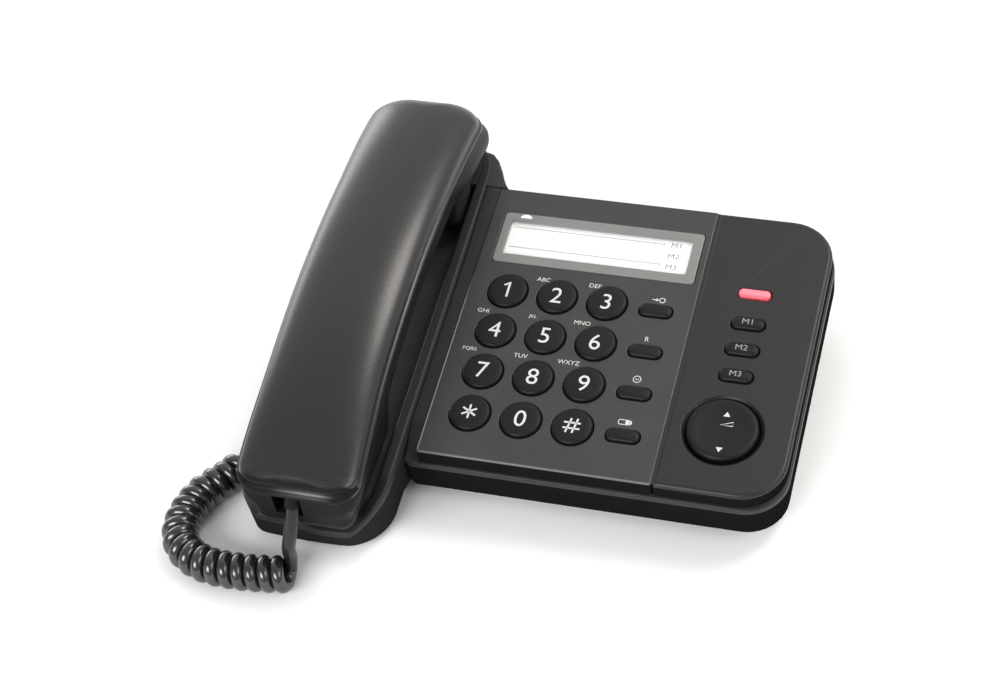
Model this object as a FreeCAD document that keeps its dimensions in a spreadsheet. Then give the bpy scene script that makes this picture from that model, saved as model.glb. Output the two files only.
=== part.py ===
import FreeCAD, Part
import math
import os
import sys
import Sketcher
from FreeCAD import Vector, Rotation, Placement

# Corded desk telephone: base with a sloping key panel and a handset cradle,
# handset, curly handset cord.  Millimetres.  Base pieces are drawn in the
# panel frame (x right, y to the rear, z out of the panel, origin in the
# middle of the dial keys at key-top level), handset pieces in the handset
# frame (y along the handset; the parting line of its two shells is an arc).

doc = FreeCAD.newDocument("desk_phone")
sheet = doc.addObject("Spreadsheet::Sheet", "Dims")

DIMS = [
    # stance
    ("panel_tilt", 8.0), ("origin_x", -1.355), ("origin_y", -10.422), ("origin_z", 37.6),
    # dial keys
    ("key_x", -0.85), ("key_y", 2.25), ("key_dx", 18.5), ("key_dy", 18.0), ("key_top", -1.7), ("dial_r", 7.3), ("dial_flange_r", 8.3),
    ("dial_round", 1.1), ("key_bottom", -8.0), ("flange_thk", 1.5), ("key_gap", 0.35),
    # pill keys
    ("pill_w", 12.1), ("pill_d", 5.2), ("pill_top", -1.9), ("pill_x", 35.7),
    ("mem_w", 12.0), ("mem_d", 4.9), ("mem_top", -2.0), ("mem_bottom", -7.2),
    ("mem_x", 69.2), ("mem_y", 17.0), ("mem_dy", 11.3), ("flange_over", 0.9),
    # rocker
    ("rock_x", 69.1), ("rock_y", -17.5), ("rock_r", 12.5), ("rock_hole_r", 13.4),
    ("rock_top", -1.7), ("rock_pin_r", 1.2), ("rock_bore_r", 1.26), ("rock_axis_z", -7.3),
    # lens
    ("lens_x", 69.1), ("lens_y", 41.3), ("lens_w", 12.0), ("lens_d", 4.5),
    # levels
    ("z_panel", -3.1), ("plate_thk", 3.0), ("z_deck", -9.6), ("deck_thk", 2.2),
    ("z_bottom", -25.9), ("wall", 2.2), ("z_split", -21.6), ("z_rim", -2.5),
    # slab plan
    ("slab_left", -39.9), ("slab_right", 94.2), ("slab_front", -44.3), ("slab_rear", 76.3),
    ("slab_r_front", 15.0), ("slab_r_rear", 17.0), ("lip", 1.2), ("deck_r", 15.9),
    # faceplate plan
    ("face_left", -34.2), ("face_right", 49.3), ("panel_left", 49.7), ("skirt", 2.0),
    # memo window and card
    ("memo_x", 8.8), ("memo_y", 53.8), ("memo_w", 75.4), ("memo_d", 23.0), ("memo_sink", 1.8),
    ("card_x", 8.4), ("card_y", 54.05), ("card_w", 68.6), ("card_d", 15.5),
    # cradle plan
    ("cradle_left", -91.6), ("cradle_right", -40.0), ("cradle_front", -71.4), ("cradle_rear", 98.0),
    ("cradle_r_front", 19.0), ("cradle_r_left", 6.0), ("trough_x", -64.9), ("trough_w", 39.4),
    # circuit board
    ("pcb_left", -32.0), ("pcb_right", 81.0), ("pcb_front", -38.0), ("pcb_rear", 60.0),
    ("pcb_top", -13.0), ("pcb_thk", 1.6), ("stud_left", -28.5), ("stud_right", 77.5),
    ("stud_front", -34.5), ("stud_rear", 56.5), ("stud_r", 2.6),
    # hook switch
    ("hook_x", -64.2), ("hook_y", 74.0), ("hook_r", 3.8), ("hook_top", -12.4), ("hook_bore_r", 2.7),
    ("spring_r", 2.0), ("spring_wire_r", 0.35), ("spring_turns", 4.5), ("spring_len", 8.4),
    # jacks
    ("ljack_x", 30.0), ("ljack_w", 12.0), ("ljack_open_w", 9.7), ("ljack_open_h", 6.7),
    ("hjack_x", -78.2), ("hjack_y", 30.0), ("hjack_z", -32.3), ("hjack_w", 10.8),
    ("hjack_open_w", 8.0), ("hjack_open_h", 6.0), ("plug_w", 7.5), ("plug_h", 5.5), ("boot_r", 3.0),
    # stand and feet
    ("foot_r", 6.0), ("foot_h", 1.6), ("stand_rear", 74.0), ("stand_front", -33.0),
    # handset
    ("hand_x", -64.2), ("hand_y", 9.0), ("hand_z", 14.5), ("hand_pitch", -3.7),
    ("hand_w", 43.6), ("hand_front", -87.0), ("hand_rear", 89.5), ("hand_r", 14.0), ("cover_h", 9.0),
    ("cover_round", 7.6), ("bow_y", 11.7), ("bow_z", -286.2), ("bow_r", 298.0),
    ("grip_w", 38.0), ("grip_depth", 10.0),
    ("ear_y", 68.0), ("ear_len", 32.0), ("cup_w", 36.5), ("ear_depth", 22.3),
    ("mouth_y", -60.0), ("mouth_depth", 27.0),
    ("screw_y", 35.0), ("seat_front", 8.12), ("seat_rear", 10.89),
    ("chin_jack_x", -2.0), ("chin_jack_y", -83.6), ("chin_jack_z", -8.0), ("chin_jack_lean", 60.0),
    # cord
    ("coil_r", 6.7), ("wire_r", 2.4),
]
VAL = {}
for row, (name, value) in enumerate(DIMS, start=1):
    sheet.set("A%d" % row, name)
    sheet.set("B%d" % row, repr(value))
    sheet.setAlias("B%d" % row, name)
    VAL[name] = value
doc.recompute()


class Q:
    """A size: its number, and the expression that binds it to the sheet."""

    def __init__(self, v, e):
        self.v, self.e = float(v), e

    def __add__(a, b):
        b = q(b)
        return Q(a.v + b.v, "(%s + %s)" % (a.e, b.e))

    def __sub__(a, b):
        b = q(b)
        return Q(a.v - b.v, "(%s - %s)" % (a.e, b.e))

    def __mul__(a, b):
        b = q(b)
        return Q(a.v * b.v, "(%s * %s)" % (a.e, b.e))

    def __neg__(a):
        return Q(-a.v, "(0 - %s)" % a.e)

    __radd__ = lambda a, b: q(b) + a
    __rsub__ = lambda a, b: q(b) - a
    __rmul__ = lambda a, b: q(b) * a


def q(x):
    return x if isinstance(x, Q) else Q(x, "%.6f" % x)


def D(name):
    return Q(VAL[name], "Dims." + name)


def bind(obj, prop, size):
    size = q(size)
    obj.setExpression(prop, size.e)


# ---------------------------------------------------------------- placement
PANEL = Placement(Vector(VAL["origin_x"], VAL["origin_y"], VAL["origin_z"]),
                  Rotation(Vector(1, 0, 0), VAL["panel_tilt"]))
GROUND = Placement(Vector(VAL["origin_x"], VAL["origin_y"], 0), Rotation())
HAND = PANEL.multiply(Placement(Vector(VAL["hand_x"], VAL["hand_y"], VAL["hand_z"]),
                                Rotation(Vector(1, 0, 0), VAL["hand_pitch"])))


def at(base, x=0.0, y=0.0, z=0.0):
    return base.multiply(Placement(Vector(x, y, z), Rotation()))


NODES = {}


def node(obj, label, placement=None):
    obj.Label = label
    if placement is not None:
        obj.Placement = placement
    NODES[label] = obj
    return obj


# ---------------------------------------------------------------- sketch kit
def new_body(name):
    return doc.addObject("PartDesign::Body", name)


def new_sketch(body, level=0.0, role="XY_Plane"):
    sk = body.newObject("Sketcher::SketchObject", body.Name + "_sk")
    plane = [f for f in body.Origin.OriginFeatures if f.Role == role][0]
    sk.AttachmentSupport = [(plane, "")]
    sk.MapMode = "FlatFace"
    sk.AttachmentOffset = Placement(Vector(0, 0, q(level).v), Rotation())
    bind(sk, "AttachmentOffset.Base.z", level)
    return sk


def fix(sk, kind, *args):
    """Adds a dimension whose last argument is a bound size."""
    size = q(args[-1])
    i = sk.addConstraint(Sketcher.Constraint(kind, *args[:-1], size.v))
    sk.setExpression("Constraints[%d]" % i, size.e)


def rrect(sk, left, right, front, rear, r):
    """A rounded rectangle between two x and two y values."""
    a, b, c, d, rr = q(left).v, q(right).v, q(front).v, q(rear).v, q(r).v
    n = Vector(0, 0, 1)

    def line(x0, y0, x1, y1):
        return Part.LineSegment(Vector(x0, y0, 0), Vector(x1, y1, 0))

    def arc(x, y, s):
        return Part.ArcOfCircle(Part.Circle(Vector(x, y, 0), n, rr), s * math.pi / 2, (s + 1) * math.pi / 2)

    g = sk.addGeometry([
        line(a + rr, c, b - rr, c), arc(b - rr, c + rr, 3),
        line(b, c + rr, b, d - rr), arc(b - rr, d - rr, 0),
        line(b - rr, d, a + rr, d), arc(a + rr, d - rr, 1),
        line(a, d - rr, a, c + rr), arc(a + rr, c + rr, 2)], False)
    for i in range(8):
        sk.addConstraint(Sketcher.Constraint("Tangent", g[i], 2, g[(i + 1) % 8], 1))
    for i in (0, 4):
        sk.addConstraint(Sketcher.Constraint("Horizontal", g[i]))
    for i in (2, 6):
        sk.addConstraint(Sketcher.Constraint("Vertical", g[i]))
    for i in (1, 3, 5):
        sk.addConstraint(Sketcher.Constraint("Equal", g[i], g[i + 2]))
    fix(sk, "Radius", g[1], r)
    fix(sk, "DistanceX", -1, 1, g[6], 1, left)
    fix(sk, "DistanceX", -1, 1, g[2], 1, right)
    fix(sk, "DistanceY", -1, 1, g[0], 1, front)
    fix(sk, "DistanceY", -1, 1, g[4], 1, rear)


def rbox(sk, cx, cy, w, d, r):
    """A rounded rectangle by its middle and its two sizes."""
    rrect(sk, q(cx) - q(w) * 0.5, q(cx) + q(w) * 0.5, q(cy) - q(d) * 0.5, q(cy) + q(d) * 0.5, r)


def rect(sk, left, right, front, rear):
    a, b, c, d = q(left).v, q(right).v, q(front).v, q(rear).v
    p = [Vector(a, c, 0), Vector(b, c, 0), Vector(b, d, 0), Vector(a, d, 0)]
    g = sk.addGeometry([Part.LineSegment(p[i], p[(i + 1) % 4]) for i in range(4)], False)
    for i in range(4):
        sk.addConstraint(Sketcher.Constraint("Coincident", g[i], 2, g[(i + 1) % 4], 1))
    for i in (0, 2):
        sk.addConstraint(Sketcher.Constraint("Horizontal", g[i]))
    for i in (1, 3):
        sk.addConstraint(Sketcher.Constraint("Vertical", g[i]))
    fix(sk, "DistanceX", -1, 1, g[0], 1, left)
    fix(sk, "DistanceX", -1, 1, g[1], 1, right)
    fix(sk, "DistanceY", -1, 1, g[0], 1, front)
    fix(sk, "DistanceY", -1, 1, g[2], 1, rear)


def circle(sk, x, y, r):
    g = sk.addGeometry(Part.Circle(Vector(q(x).v, q(y).v, 0), Vector(0, 0, 1), q(r).v), False)
    fix(sk, "Radius", g, r)
    fix(sk, "DistanceX", -1, 1, g, 3, x)
    fix(sk, "DistanceY", -1, 1, g, 3, y)


def poly(sk, points):
    """A closed outline; every corner is held by its two bound coordinates."""
    p = [Vector(q(x).v, q(y).v, 0) for x, y in points]
    k = len(p)
    g = sk.addGeometry([Part.LineSegment(p[i], p[(i + 1) % k]) for i in range(k)], False)
    for i in range(k):
        sk.addConstraint(Sketcher.Constraint("Coincident", g[i], 2, g[(i + 1) % k], 1))
    for i, (x, y) in enumerate(points):
        fix(sk, "DistanceX", -1, 1, g[i], 1, x)
        fix(sk, "DistanceY", -1, 1, g[i], 1, y)


def bow(sk, inner, outer, front, rear):
    """A band between two arcs about the centre of the handset's bow, with upright ends."""
    cy, cz, a, b = VAL["bow_y"], VAL["bow_z"], q(front).v, q(rear).v

    def arc(r):
        c = Part.Circle(Vector(cy, cz, 0), Vector(0, 0, 1), r)
        return Part.ArcOfCircle(c, math.acos((b - cy) / r), math.acos((a - cy) / r))

    def height(r, y):
        return cz + math.sqrt(r * r - (y - cy) ** 2)

    lo, hi = q(inner).v, q(outer).v
    g = sk.addGeometry([
        arc(hi), Part.LineSegment(Vector(a, height(hi, a), 0), Vector(a, height(lo, a), 0)),
        arc(lo), Part.LineSegment(Vector(b, height(lo, b), 0), Vector(b, height(hi, b), 0))], False)
    for i, e, j, f in ((0, 2, 1, 1), (1, 2, 2, 2), (2, 1, 3, 1), (3, 2, 0, 1), (0, 3, 2, 3)):
        sk.addConstraint(Sketcher.Constraint("Coincident", g[i], e, g[j], f))
    for i in (1, 3):
        sk.addConstraint(Sketcher.Constraint("Vertical", g[i]))
    fix(sk, "Radius", g[0], outer)
    fix(sk, "Radius", g[2], inner)
    fix(sk, "DistanceX", -1, 1, g[0], 3, D("bow_y"))
    fix(sk, "DistanceY", -1, 1, g[0], 3, D("bow_z"))
    fix(sk, "DistanceX", -1, 1, g[1], 1, front)
    fix(sk, "DistanceX", -1, 1, g[3], 1, rear)


def pad(body, sk, length, both=False):
    f = body.newObject("PartDesign::Pad", body.Name + "_pad")
    f.Profile = sk
    bind(f, "Length", length)
    if both:
        f.SideType = "Symmetric"
    doc.recompute()
    return f


def pocket(body, sk, length, up=False, both=False):
    before = body.Shape.Volume
    f = body.newObject("PartDesign::Pocket", body.Name + "_pocket")
    f.Profile = sk
    bind(f, "Length", length)
    f.Reversed = up
    if both:
        f.SideType = "Symmetric"
    doc.recompute()
    if not body.Shape.Volume < before - 0.01:
        sys.exit("%s: a pocket cut nothing (%.2f -> %.2f)" % (body.Name, before, body.Shape.Volume))
    return f


def edges(body, test):
    """Names of the tip's edges whose middle point and ends pass the test."""
    out = []
    for i, e in enumerate(body.Tip.Shape.Edges, start=1):
        m = e.valueAt((e.FirstParameter + e.LastParameter) / 2)
        if test(e, m):
            out.append("Edge%d" % i)
    return out


def fillet(body, names, radius, kind="PartDesign::Fillet"):
    tip = body.Tip
    f = body.newObject(kind, body.Name + "_edge")
    f.Base = (tip, names)
    bind(f, "Radius" if kind.endswith("Fillet") else "Size", radius)
    doc.recompute()
    if "Invalid" in f.State or f.Shape.isNull() or not f.Shape.isValid():
        sys.exit("%s: edge treatment failed on %s" % (body.Name, names))
    return f


def upright(e):
    a, b = e.Vertexes[0].Point, e.Vertexes[-1].Point
    return e.Length > 1 and abs(a.x - b.x) < 1e-4 and abs(a.y - b.y) < 1e-4


def near(a, b, tol=0.02):
    return abs(a - b) < tol


# ---------------------------------------------------------------- lower case
SCREWS = [(86.0, -26.0), (86.0, 57.0), (-64.0, -50.0), (-64.0, 88.5)]
STUDS = [(D(a), D(b)) for a in ("stud_left", "stud_right") for b in ("stud_front", "stud_rear")]
z_floor = D("z_bottom") + D("wall")
z_pan = D("z_split") - 0.2

b = new_body("lower_case")
sk = new_sketch(b, D("z_bottom"))
rect(sk, D("slab_left"), D("slab_right"), D("slab_front"), D("slab_rear"))
pad(b, sk, D("z_deck") - D("z_bottom"))
for y, r in (("slab_front", "slab_r_front"), ("slab_rear", "slab_r_rear")):
    fillet(b, edges(b, lambda e, m: upright(e) and near(m.x, VAL["slab_right"]) and near(m.y, VAL[y])), D(r))
sk = new_sketch(b, D("z_bottom"))
rrect(sk, D("cradle_left"), D("slab_left"), D("cradle_front"), D("cradle_rear"), D("cradle_r_front") - 3)
pad(b, sk, z_pan - D("z_bottom"))
sk = new_sketch(b, D("z_bottom"))
rrect(sk, D("cradle_left"), D("cradle_left") + 30, D("cradle_front"), D("cradle_front") + 40, D("cradle_r_left"))
pad(b, sk, z_pan - D("z_bottom"))
sk = new_sketch(b, D("z_deck"))
rrect(sk, D("slab_left") + D("wall"), D("slab_right") - D("wall"), D("slab_front") + D("wall"),
      D("slab_rear") - D("wall"), D("slab_r_front"))
pocket(b, sk, D("z_deck") - z_floor)
sk = new_sketch(b, D("z_deck"))
rrect(sk, D("slab_left") - 40, D("slab_right") - D("lip") + 0.1, D("slab_front") + D("lip") - 0.1,
      D("slab_rear") - D("lip") + 0.1, D("deck_r") + 0.1)
pocket(b, sk, D("deck_thk") + 0.1)
sk = new_sketch(b, z_pan)
rrect(sk, D("cradle_left") + D("wall"), D("slab_left") - D("wall"), D("cradle_front") + D("wall"),
      D("cradle_rear") - D("wall"), D("cradle_r_front") - 5)
pocket(b, sk, z_pan - z_floor)
sk = new_sketch(b, z_floor)
for x, y in SCREWS:
    circle(sk, x, y, 3.6)
pad(b, sk, 3.5)
sk = new_sketch(b, z_floor)
for x, y in STUDS:
    circle(sk, x, y, D("stud_r"))
pad(b, sk, D("pcb_top") - D("pcb_thk") - 0.05 - z_floor)
sk = new_sketch(b, D("pcb_top") - D("pcb_thk") - 0.05)
for x, y in STUDS:
    circle(sk, x, y, 1.0)
pocket(b, sk, 5.5)
sk = new_sketch(b, D("z_bottom"))
for x, y in SCREWS:
    circle(sk, x, y, 1.7)
pocket(b, sk, 8, up=True)
sk = new_sketch(b, D("z_bottom"))
for x, y in SCREWS:
    circle(sk, x, y, 3.3)
pocket(b, sk, 2.7, up=True)
# mouth of the line socket in the rear wall
sk = new_sketch(b, D("z_deck") + 1)
rect(sk, D("ljack_x") - D("ljack_w") * 0.5 - 0.2, D("ljack_x") + D("ljack_w") * 0.5 + 0.2,
     D("slab_rear") - 4, D("slab_rear") + 2)
pocket(b, sk, D("z_deck") + 1 - z_floor - 0.05)
node(b, "lower_case", PANEL)

# ---------------------------------------------------------------- upper case
panel_under = D("z_panel") - 2.2
b = new_body("upper_case")
sk = new_sketch(b, D("z_deck") - D("deck_thk"))
rrect(sk, D("cradle_right") - 20, D("slab_right") - D("lip"), D("slab_front") + D("lip"),
      D("slab_rear") - D("lip"), D("deck_r"))
pad(b, sk, D("deck_thk"))
sk = new_sketch(b, D("z_deck"))
rrect(sk, D("panel_left") - 40, D("slab_right") - D("lip"), D("slab_front") + D("lip"),
      D("slab_rear") - D("lip"), D("deck_r"))
pad(b, sk, D("z_panel") - D("z_deck"))
sk = new_sketch(b, D("z_panel"))
rect(sk, D("panel_left") - 42, D("panel_left"), D("slab_front") - 5, D("slab_rear") + 5)
pocket(b, sk, D("z_panel") - D("z_deck"))
fillet(b, edges(b, lambda e, m: near(m.z, VAL["z_panel"]) and m.x > VAL["panel_left"] + 0.5), 1.0)
# cradle block
sk = new_sketch(b, D("z_split"))
rrect(sk, D("cradle_left"), D("cradle_right"), D("cradle_front"), D("cradle_rear"), D("cradle_r_front") - 3)
pad(b, sk, D("z_rim") - D("z_split"))
sk = new_sketch(b, D("z_split"))
rrect(sk, D("cradle_left"), D("cradle_left") + 30, D("cradle_front"), D("cradle_front") + 40, D("cradle_r_left"))
pad(b, sk, D("z_rim") - D("z_split"))
# web in the inner corner behind the slab
sk = new_sketch(b, D("z_split"))
poly(sk, [(-44, D("slab_rear") + 0.2), (-32.2, D("slab_rear") + 0.2), (-34.2, 80.6), (-36.8, 86.4), (-39.8, 90.2), (-44, 92.4)])
pad(b, sk, -4.5 - D("z_split"))
# front end of the cradle rounded over, seen from the side
sk = new_sketch(b, 0, "YZ_Plane")
cy, cz, rr = -53.4, -20.5, 18.0
end = math.radians(172.0)
p1, p2 = Vector(cy, cz + rr, 0), Vector(cy + rr * math.cos(end), cz + rr * math.sin(end), 0)
corner = [p2, Vector(-95, p2.y, 0), Vector(-95, 10, 0), Vector(cy, 10, 0), p1]
g = sk.addGeometry([Part.ArcOfCircle(Part.Circle(Vector(cy, cz, 0), Vector(0, 0, 1), rr), math.pi / 2, end)] +
                   [Part.LineSegment(corner[i], corner[i + 1]) for i in range(4)], False)
for i in range(5):
    sk.addConstraint(Sketcher.Constraint("Coincident", g[i], 2, g[(i + 1) % 5], 1))
fix(sk, "Radius", g[0], rr)
fix(sk, "DistanceX", -1, 1, g[0], 3, cy)
fix(sk, "DistanceY", -1, 1, g[0], 3, D("z_rim") - rr)
bind(sk, "AttachmentOffset.Base.z", D("trough_x"))
pocket(b, sk, 80, both=True)
# trough that takes the handset's two cups, with a finger space between them
sk = new_sketch(b, D("trough_x"), "YZ_Plane")
poly(sk, [(-80, 5), (-80, -17.4), (-68.5, -17.2), (-60.5, -9.8), (-36, -9.8), (-33, -15), (43, -15),
          (46, -13.6), (75, -13.6), (75, 5)])
pocket(b, sk, D("trough_w"), both=True)
sk = new_sketch(b, D("z_rim") + 1)
rbox(sk, D("trough_x"), 72.3, D("trough_w"), 44.6, 9.0)
pocket(b, sk, D("z_rim") + 1 + 13.6)
# hollow underside
sk = new_sketch(b, D("trough_x"), "YZ_Plane")
poly(sk, [(-61, -23), (-61, -17.2), (-57.6, -12), (-38, -12), (-34.5, -17.2), (43, -17.2), (46, -15.8),
          (75, -15.8), (75, -23)])
pocket(b, sk, 46, both=True)
sk = new_sketch(b, -23)
rbox(sk, D("trough_x"), 72.8, 46, 45.2, 13.0)
pocket(b, sk, 7.2, up=True)
# windows under the keypad plate and under the right panel
sk = new_sketch(b, D("z_deck"))
rrect(sk, -30, 46.5, -39, 71, 3)
pocket(b, sk, D("deck_thk") + 0.2)
sk = new_sketch(b, D("z_deck") - D("deck_thk") - 0.1)
rrect(sk, D("panel_left") + 2.3, D("slab_right") - 3.4, D("slab_front") + 3.4, D("slab_rear") - 3.4, 13.7)
pocket(b, sk, panel_under - (D("z_deck") - D("deck_thk") - 0.1), up=True)
# openings of the right panel
sk = new_sketch(b, D("z_panel"))
for i in (-1, 0, 1):
    rbox(sk, D("mem_x"), D("mem_y") + D("mem_dy") * i, D("mem_w") + D("key_gap") * 2,
         D("mem_d") + D("key_gap") * 2, D("mem_d") * 0.5)
rbox(sk, D("lens_x"), D("lens_y"), D("lens_w") + 0.2, D("lens_d") + 0.2, D("lens_d") * 0.5 - 0.2)
circle(sk, D("rock_x"), D("rock_y"), D("rock_hole_r"))
pocket(b, sk, 2.5)
# bearings of the rocker's cross pin
sk = new_sketch(b, panel_under - 3.9)
for s in (-1, 1):
    rbox(sk, D("rock_x") + 16.0 * s, D("rock_y"), 3.0, 5.0, 0.6)
pad(b, sk, 4.2)
sk = new_sketch(b, D("rock_x"), "YZ_Plane")
circle(sk, D("rock_y"), D("rock_axis_z"), D("rock_bore_r"))
pocket(b, sk, 36, both=True)
# screw bosses
sk = new_sketch(b, -20)
for x, y in SCREWS[:2]:
    circle(sk, x, y, 3.2)
pad(b, sk, 20 + panel_under + 0.3)
sk = new_sketch(b, -20)
circle(sk, SCREWS[2][0], SCREWS[2][1], 3.2)
pad(b, sk, 8.3)
sk = new_sketch(b, -20)
circle(sk, SCREWS[3][0], SCREWS[3][1], 3.2)
pad(b, sk, 4.5)
sk = new_sketch(b, -20)
for x, y in SCREWS:
    circle(sk, x, y, 1.25)
pocket(b, sk, 5.4, up=True)
# guide hole of the hook plunger
sk = new_sketch(b, -13.6)
circle(sk, D("hook_x"), D("hook_y"), D("hook_r") + 0.35)
pocket(b, sk, 3)
node(b, "upper_case", PANEL)

# ---------------------------------------------------------------- faceplate
COLS = [(i, D("key_x") + D("key_dx") * i) for i in (-1, 0, 1)]
ROWS = [D("key_y") + D("key_dy") * i for i in (1.5, 0.5, -0.5, -1.5)]
b = new_body("keypad_faceplate")
f_front, f_rear = D("slab_front") + D("lip"), D("slab_rear") - D("lip")
sk = new_sketch(b, D("z_deck") + 0.05)
rrect(sk, D("face_left"), D("face_right"), f_front, f_rear, 1.0)
pad(b, sk, D("z_panel") - D("z_deck") - 0.05)
fillet(b, edges(b, lambda e, m: near(m.z, VAL["z_panel"])), 0.5)
sk = new_sketch(b, D("z_deck") - 0.1)
rrect(sk, D("face_left") + D("skirt"), D("face_right") - D("skirt"), f_front + D("skirt"), f_rear - D("skirt"), 1.0)
pocket(b, sk, D("z_panel") - D("plate_thk") - D("z_deck") + 0.1, up=True)
sk = new_sketch(b, D("z_panel"))
for y in ROWS:
    for _, x in COLS:
        circle(sk, x, y, D("dial_r") + D("key_gap"))
    rbox(sk, D("pill_x"), y, D("pill_w") + D("key_gap") * 2, D("pill_d") + D("key_gap") * 2, D("pill_d") * 0.5)
pocket(b, sk, D("plate_thk") + 0.5)
sk = new_sketch(b, D("z_panel"))
rbox(sk, D("memo_x"), D("memo_y"), D("memo_w") + 0.4, D("memo_d") + 0.4, 1.7)
pocket(b, sk, D("memo_sink"))
node(b, "keypad_faceplate", PANEL)

# ---------------------------------------------------------------- memo window, card, lens
b = new_body("memo_window")
sk = new_sketch(b, D("z_panel") - 1.4)
rbox(sk, D("memo_x"), D("memo_y"), D("memo_w"), D("memo_d"), 1.5)
pad(b, sk, 1.6)
fillet(b, edges(b, lambda e, m: m.z > VAL["z_panel"] + 0.15), 0.3)
node(b, "memo_window", PANEL)

b = new_body("memo_card")
sk = new_sketch(b, D("z_panel") - 1.75)
rbox(sk, D("card_x"), D("card_y"), D("card_w"), D("card_d"), 0.6)
pad(b, sk, 0.3)
node(b, "memo_card", PANEL)

b = new_body("led_lens")
sk = new_sketch(b, D("z_panel") - 3.3)
rbox(sk, 0, 0, D("lens_w"), D("lens_d"), D("lens_d") * 0.5 - 0.3)
pad(b, sk, 3.9)
fillet(b, edges(b, lambda e, m: m.z > VAL["z_panel"] + 0.5), 0.35)
node(b, "led_lens", at(PANEL, VAL["lens_x"], VAL["lens_y"]))

b = new_body("led")
sk = new_sketch(b, D("pcb_top"))
circle(sk, 0, 0, 1.9)
pad(b, sk, 1.0)
sk = new_sketch(b, D("pcb_top") + 1.0)
circle(sk, 0, 0, 1.5)
pad(b, sk, 4.2)
fillet(b, edges(b, lambda e, m: m.z > VAL["pcb_top"] + 5.1), 1.4)
node(b, "led", at(PANEL, VAL["lens_x"], VAL["lens_y"]))


# ---------------------------------------------------------------- keys
def dial_key(label, x, y):
    b = new_body(label)
    sk = new_sketch(b, D("key_bottom"))
    circle(sk, 0, 0, D("dial_flange_r"))
    pad(b, sk, D("flange_thk"))
    sk = new_sketch(b, D("key_bottom"))
    circle(sk, 0, 0, D("dial_r"))
    pad(b, sk, D("key_top") - D("key_bottom"))
    fillet(b, edges(b, lambda e, m: near(m.z, VAL["key_top"])), D("dial_round"))
    node(b, label, at(PANEL, x, y))


def pill_key(label, x, y, w, d, top, bottom):
    b = new_body(label)
    over = D("flange_over")
    sk = new_sketch(b, bottom)
    rbox(sk, 0, 0, w + over * 2, d + over * 2, d * 0.5)
    pad(b, sk, D("flange_thk"))
    sk = new_sketch(b, bottom)
    rbox(sk, 0, 0, w, d, d * 0.5 - 0.1)
    pad(b, sk, top - bottom)
    fillet(b, edges(b, lambda e, m: near(m.z, top.v)), 0.7)
    node(b, label, at(PANEL, x, y))


names = ["1", "2", "3", "4", "5", "6", "7", "8", "9", "star", "0", "hash"]
for i, n in enumerate(names):
    dial_key("key_" + n, COLS[i % 3][1].v, ROWS[i // 3].v)
for n, y in zip(("store", "recall", "redial", "mute"), ROWS):
    pill_key("key_" + n, VAL["pill_x"], y.v, D("pill_w"), D("pill_d"), D("pill_top"), D("key_bottom"))
for n, i in (("m1", 1), ("m2", 0), ("m3", -1)):
    pill_key("key_" + n, VAL["mem_x"], VAL["mem_y"] + i * VAL["mem_dy"], D("mem_w"), D("mem_d"),
             D("mem_top"), D("mem_bottom"))

# rocker: a dished disc on a hub, with a cross pin that runs in the two bearings
b = new_body("nav_rocker")
sk = new_sketch(b, -8.6)
circle(sk, 0, 0, D("rock_r") - 1.2)
pad(b, sk, 4.2)
sk = new_sketch(b, -4.6)
circle(sk, 0, 0, D("rock_r"))
pad(b, sk, D("rock_top") + 4.6)
fillet(b, edges(b, lambda e, m: near(m.z, VAL["rock_top"])), 0.9)
sk = new_sketch(b, D("rock_top"))
circle(sk, 0, 0, D("rock_r") - 3.0)
pocket(b, sk, 0.5)
sk = new_sketch(b, 0, "YZ_Plane")
circle(sk, 0, D("rock_axis_z"), D("rock_pin_r"))
pad(b, sk, 34.4, both=True)
node(b, "nav_rocker", at(PANEL, VAL["rock_x"], VAL["rock_y"]))

# ---------------------------------------------------------------- board and membrane
b = new_body("main_pcb")
sk = new_sketch(b, D("pcb_top") - D("pcb_thk"))
rrect(sk, D("pcb_left"), D("pcb_right"), D("pcb_front"), D("pcb_rear"), 2.0)
for x, y in STUDS:
    circle(sk, x, y, 1.25)
pad(b, sk, D("pcb_thk"))
node(b, "main_pcb", PANEL)

b = new_body("keypad_membrane")
sk = new_sketch(b, D("pcb_top") + 0.02)
rrect(sk, -25.5, 74.5, -31.5, 34.5, 2.0)
pad(b, sk, 0.95)
sk = new_sketch(b, D("pcb_top") + 0.9)
for y in ROWS:
    for _, x in COLS:
        circle(sk, x, y, 3.2)
    circle(sk, D("pill_x"), y, 2.2)
pad(b, sk, 2.35)
sk = new_sketch(b, D("pcb_top") + 0.9)
for i in (-1, 0, 1):
    circle(sk, D("mem_x"), D("mem_y") + D("mem_dy") * i, 2.2)
pad(b, sk, 3.3)
sk = new_sketch(b, D("pcb_top") + 0.9)
for s in (-1, 1):
    circle(sk, D("rock_x"), D("rock_y") + 8.0 * s, 2.0)
pad(b, sk, 1.6)
node(b, "keypad_membrane", PANEL)


def group(label, shapes, placement):
    """Identical or loose small pieces that share one node, as separate solids."""
    o = doc.addObject("Part::Feature", label)
    o.Shape = Part.makeCompound(shapes)
    return node(o, label, placement)


def block(x0, x1, y0, y1, z0, z1):
    return Part.makeBox(x1 - x0, y1 - y0, z1 - z0, Vector(x0, y0, z0))


def can(x, y, r, z0, z1):
    return Part.makeCylinder(r, z1 - z0, Vector(x, y, z0))


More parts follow.
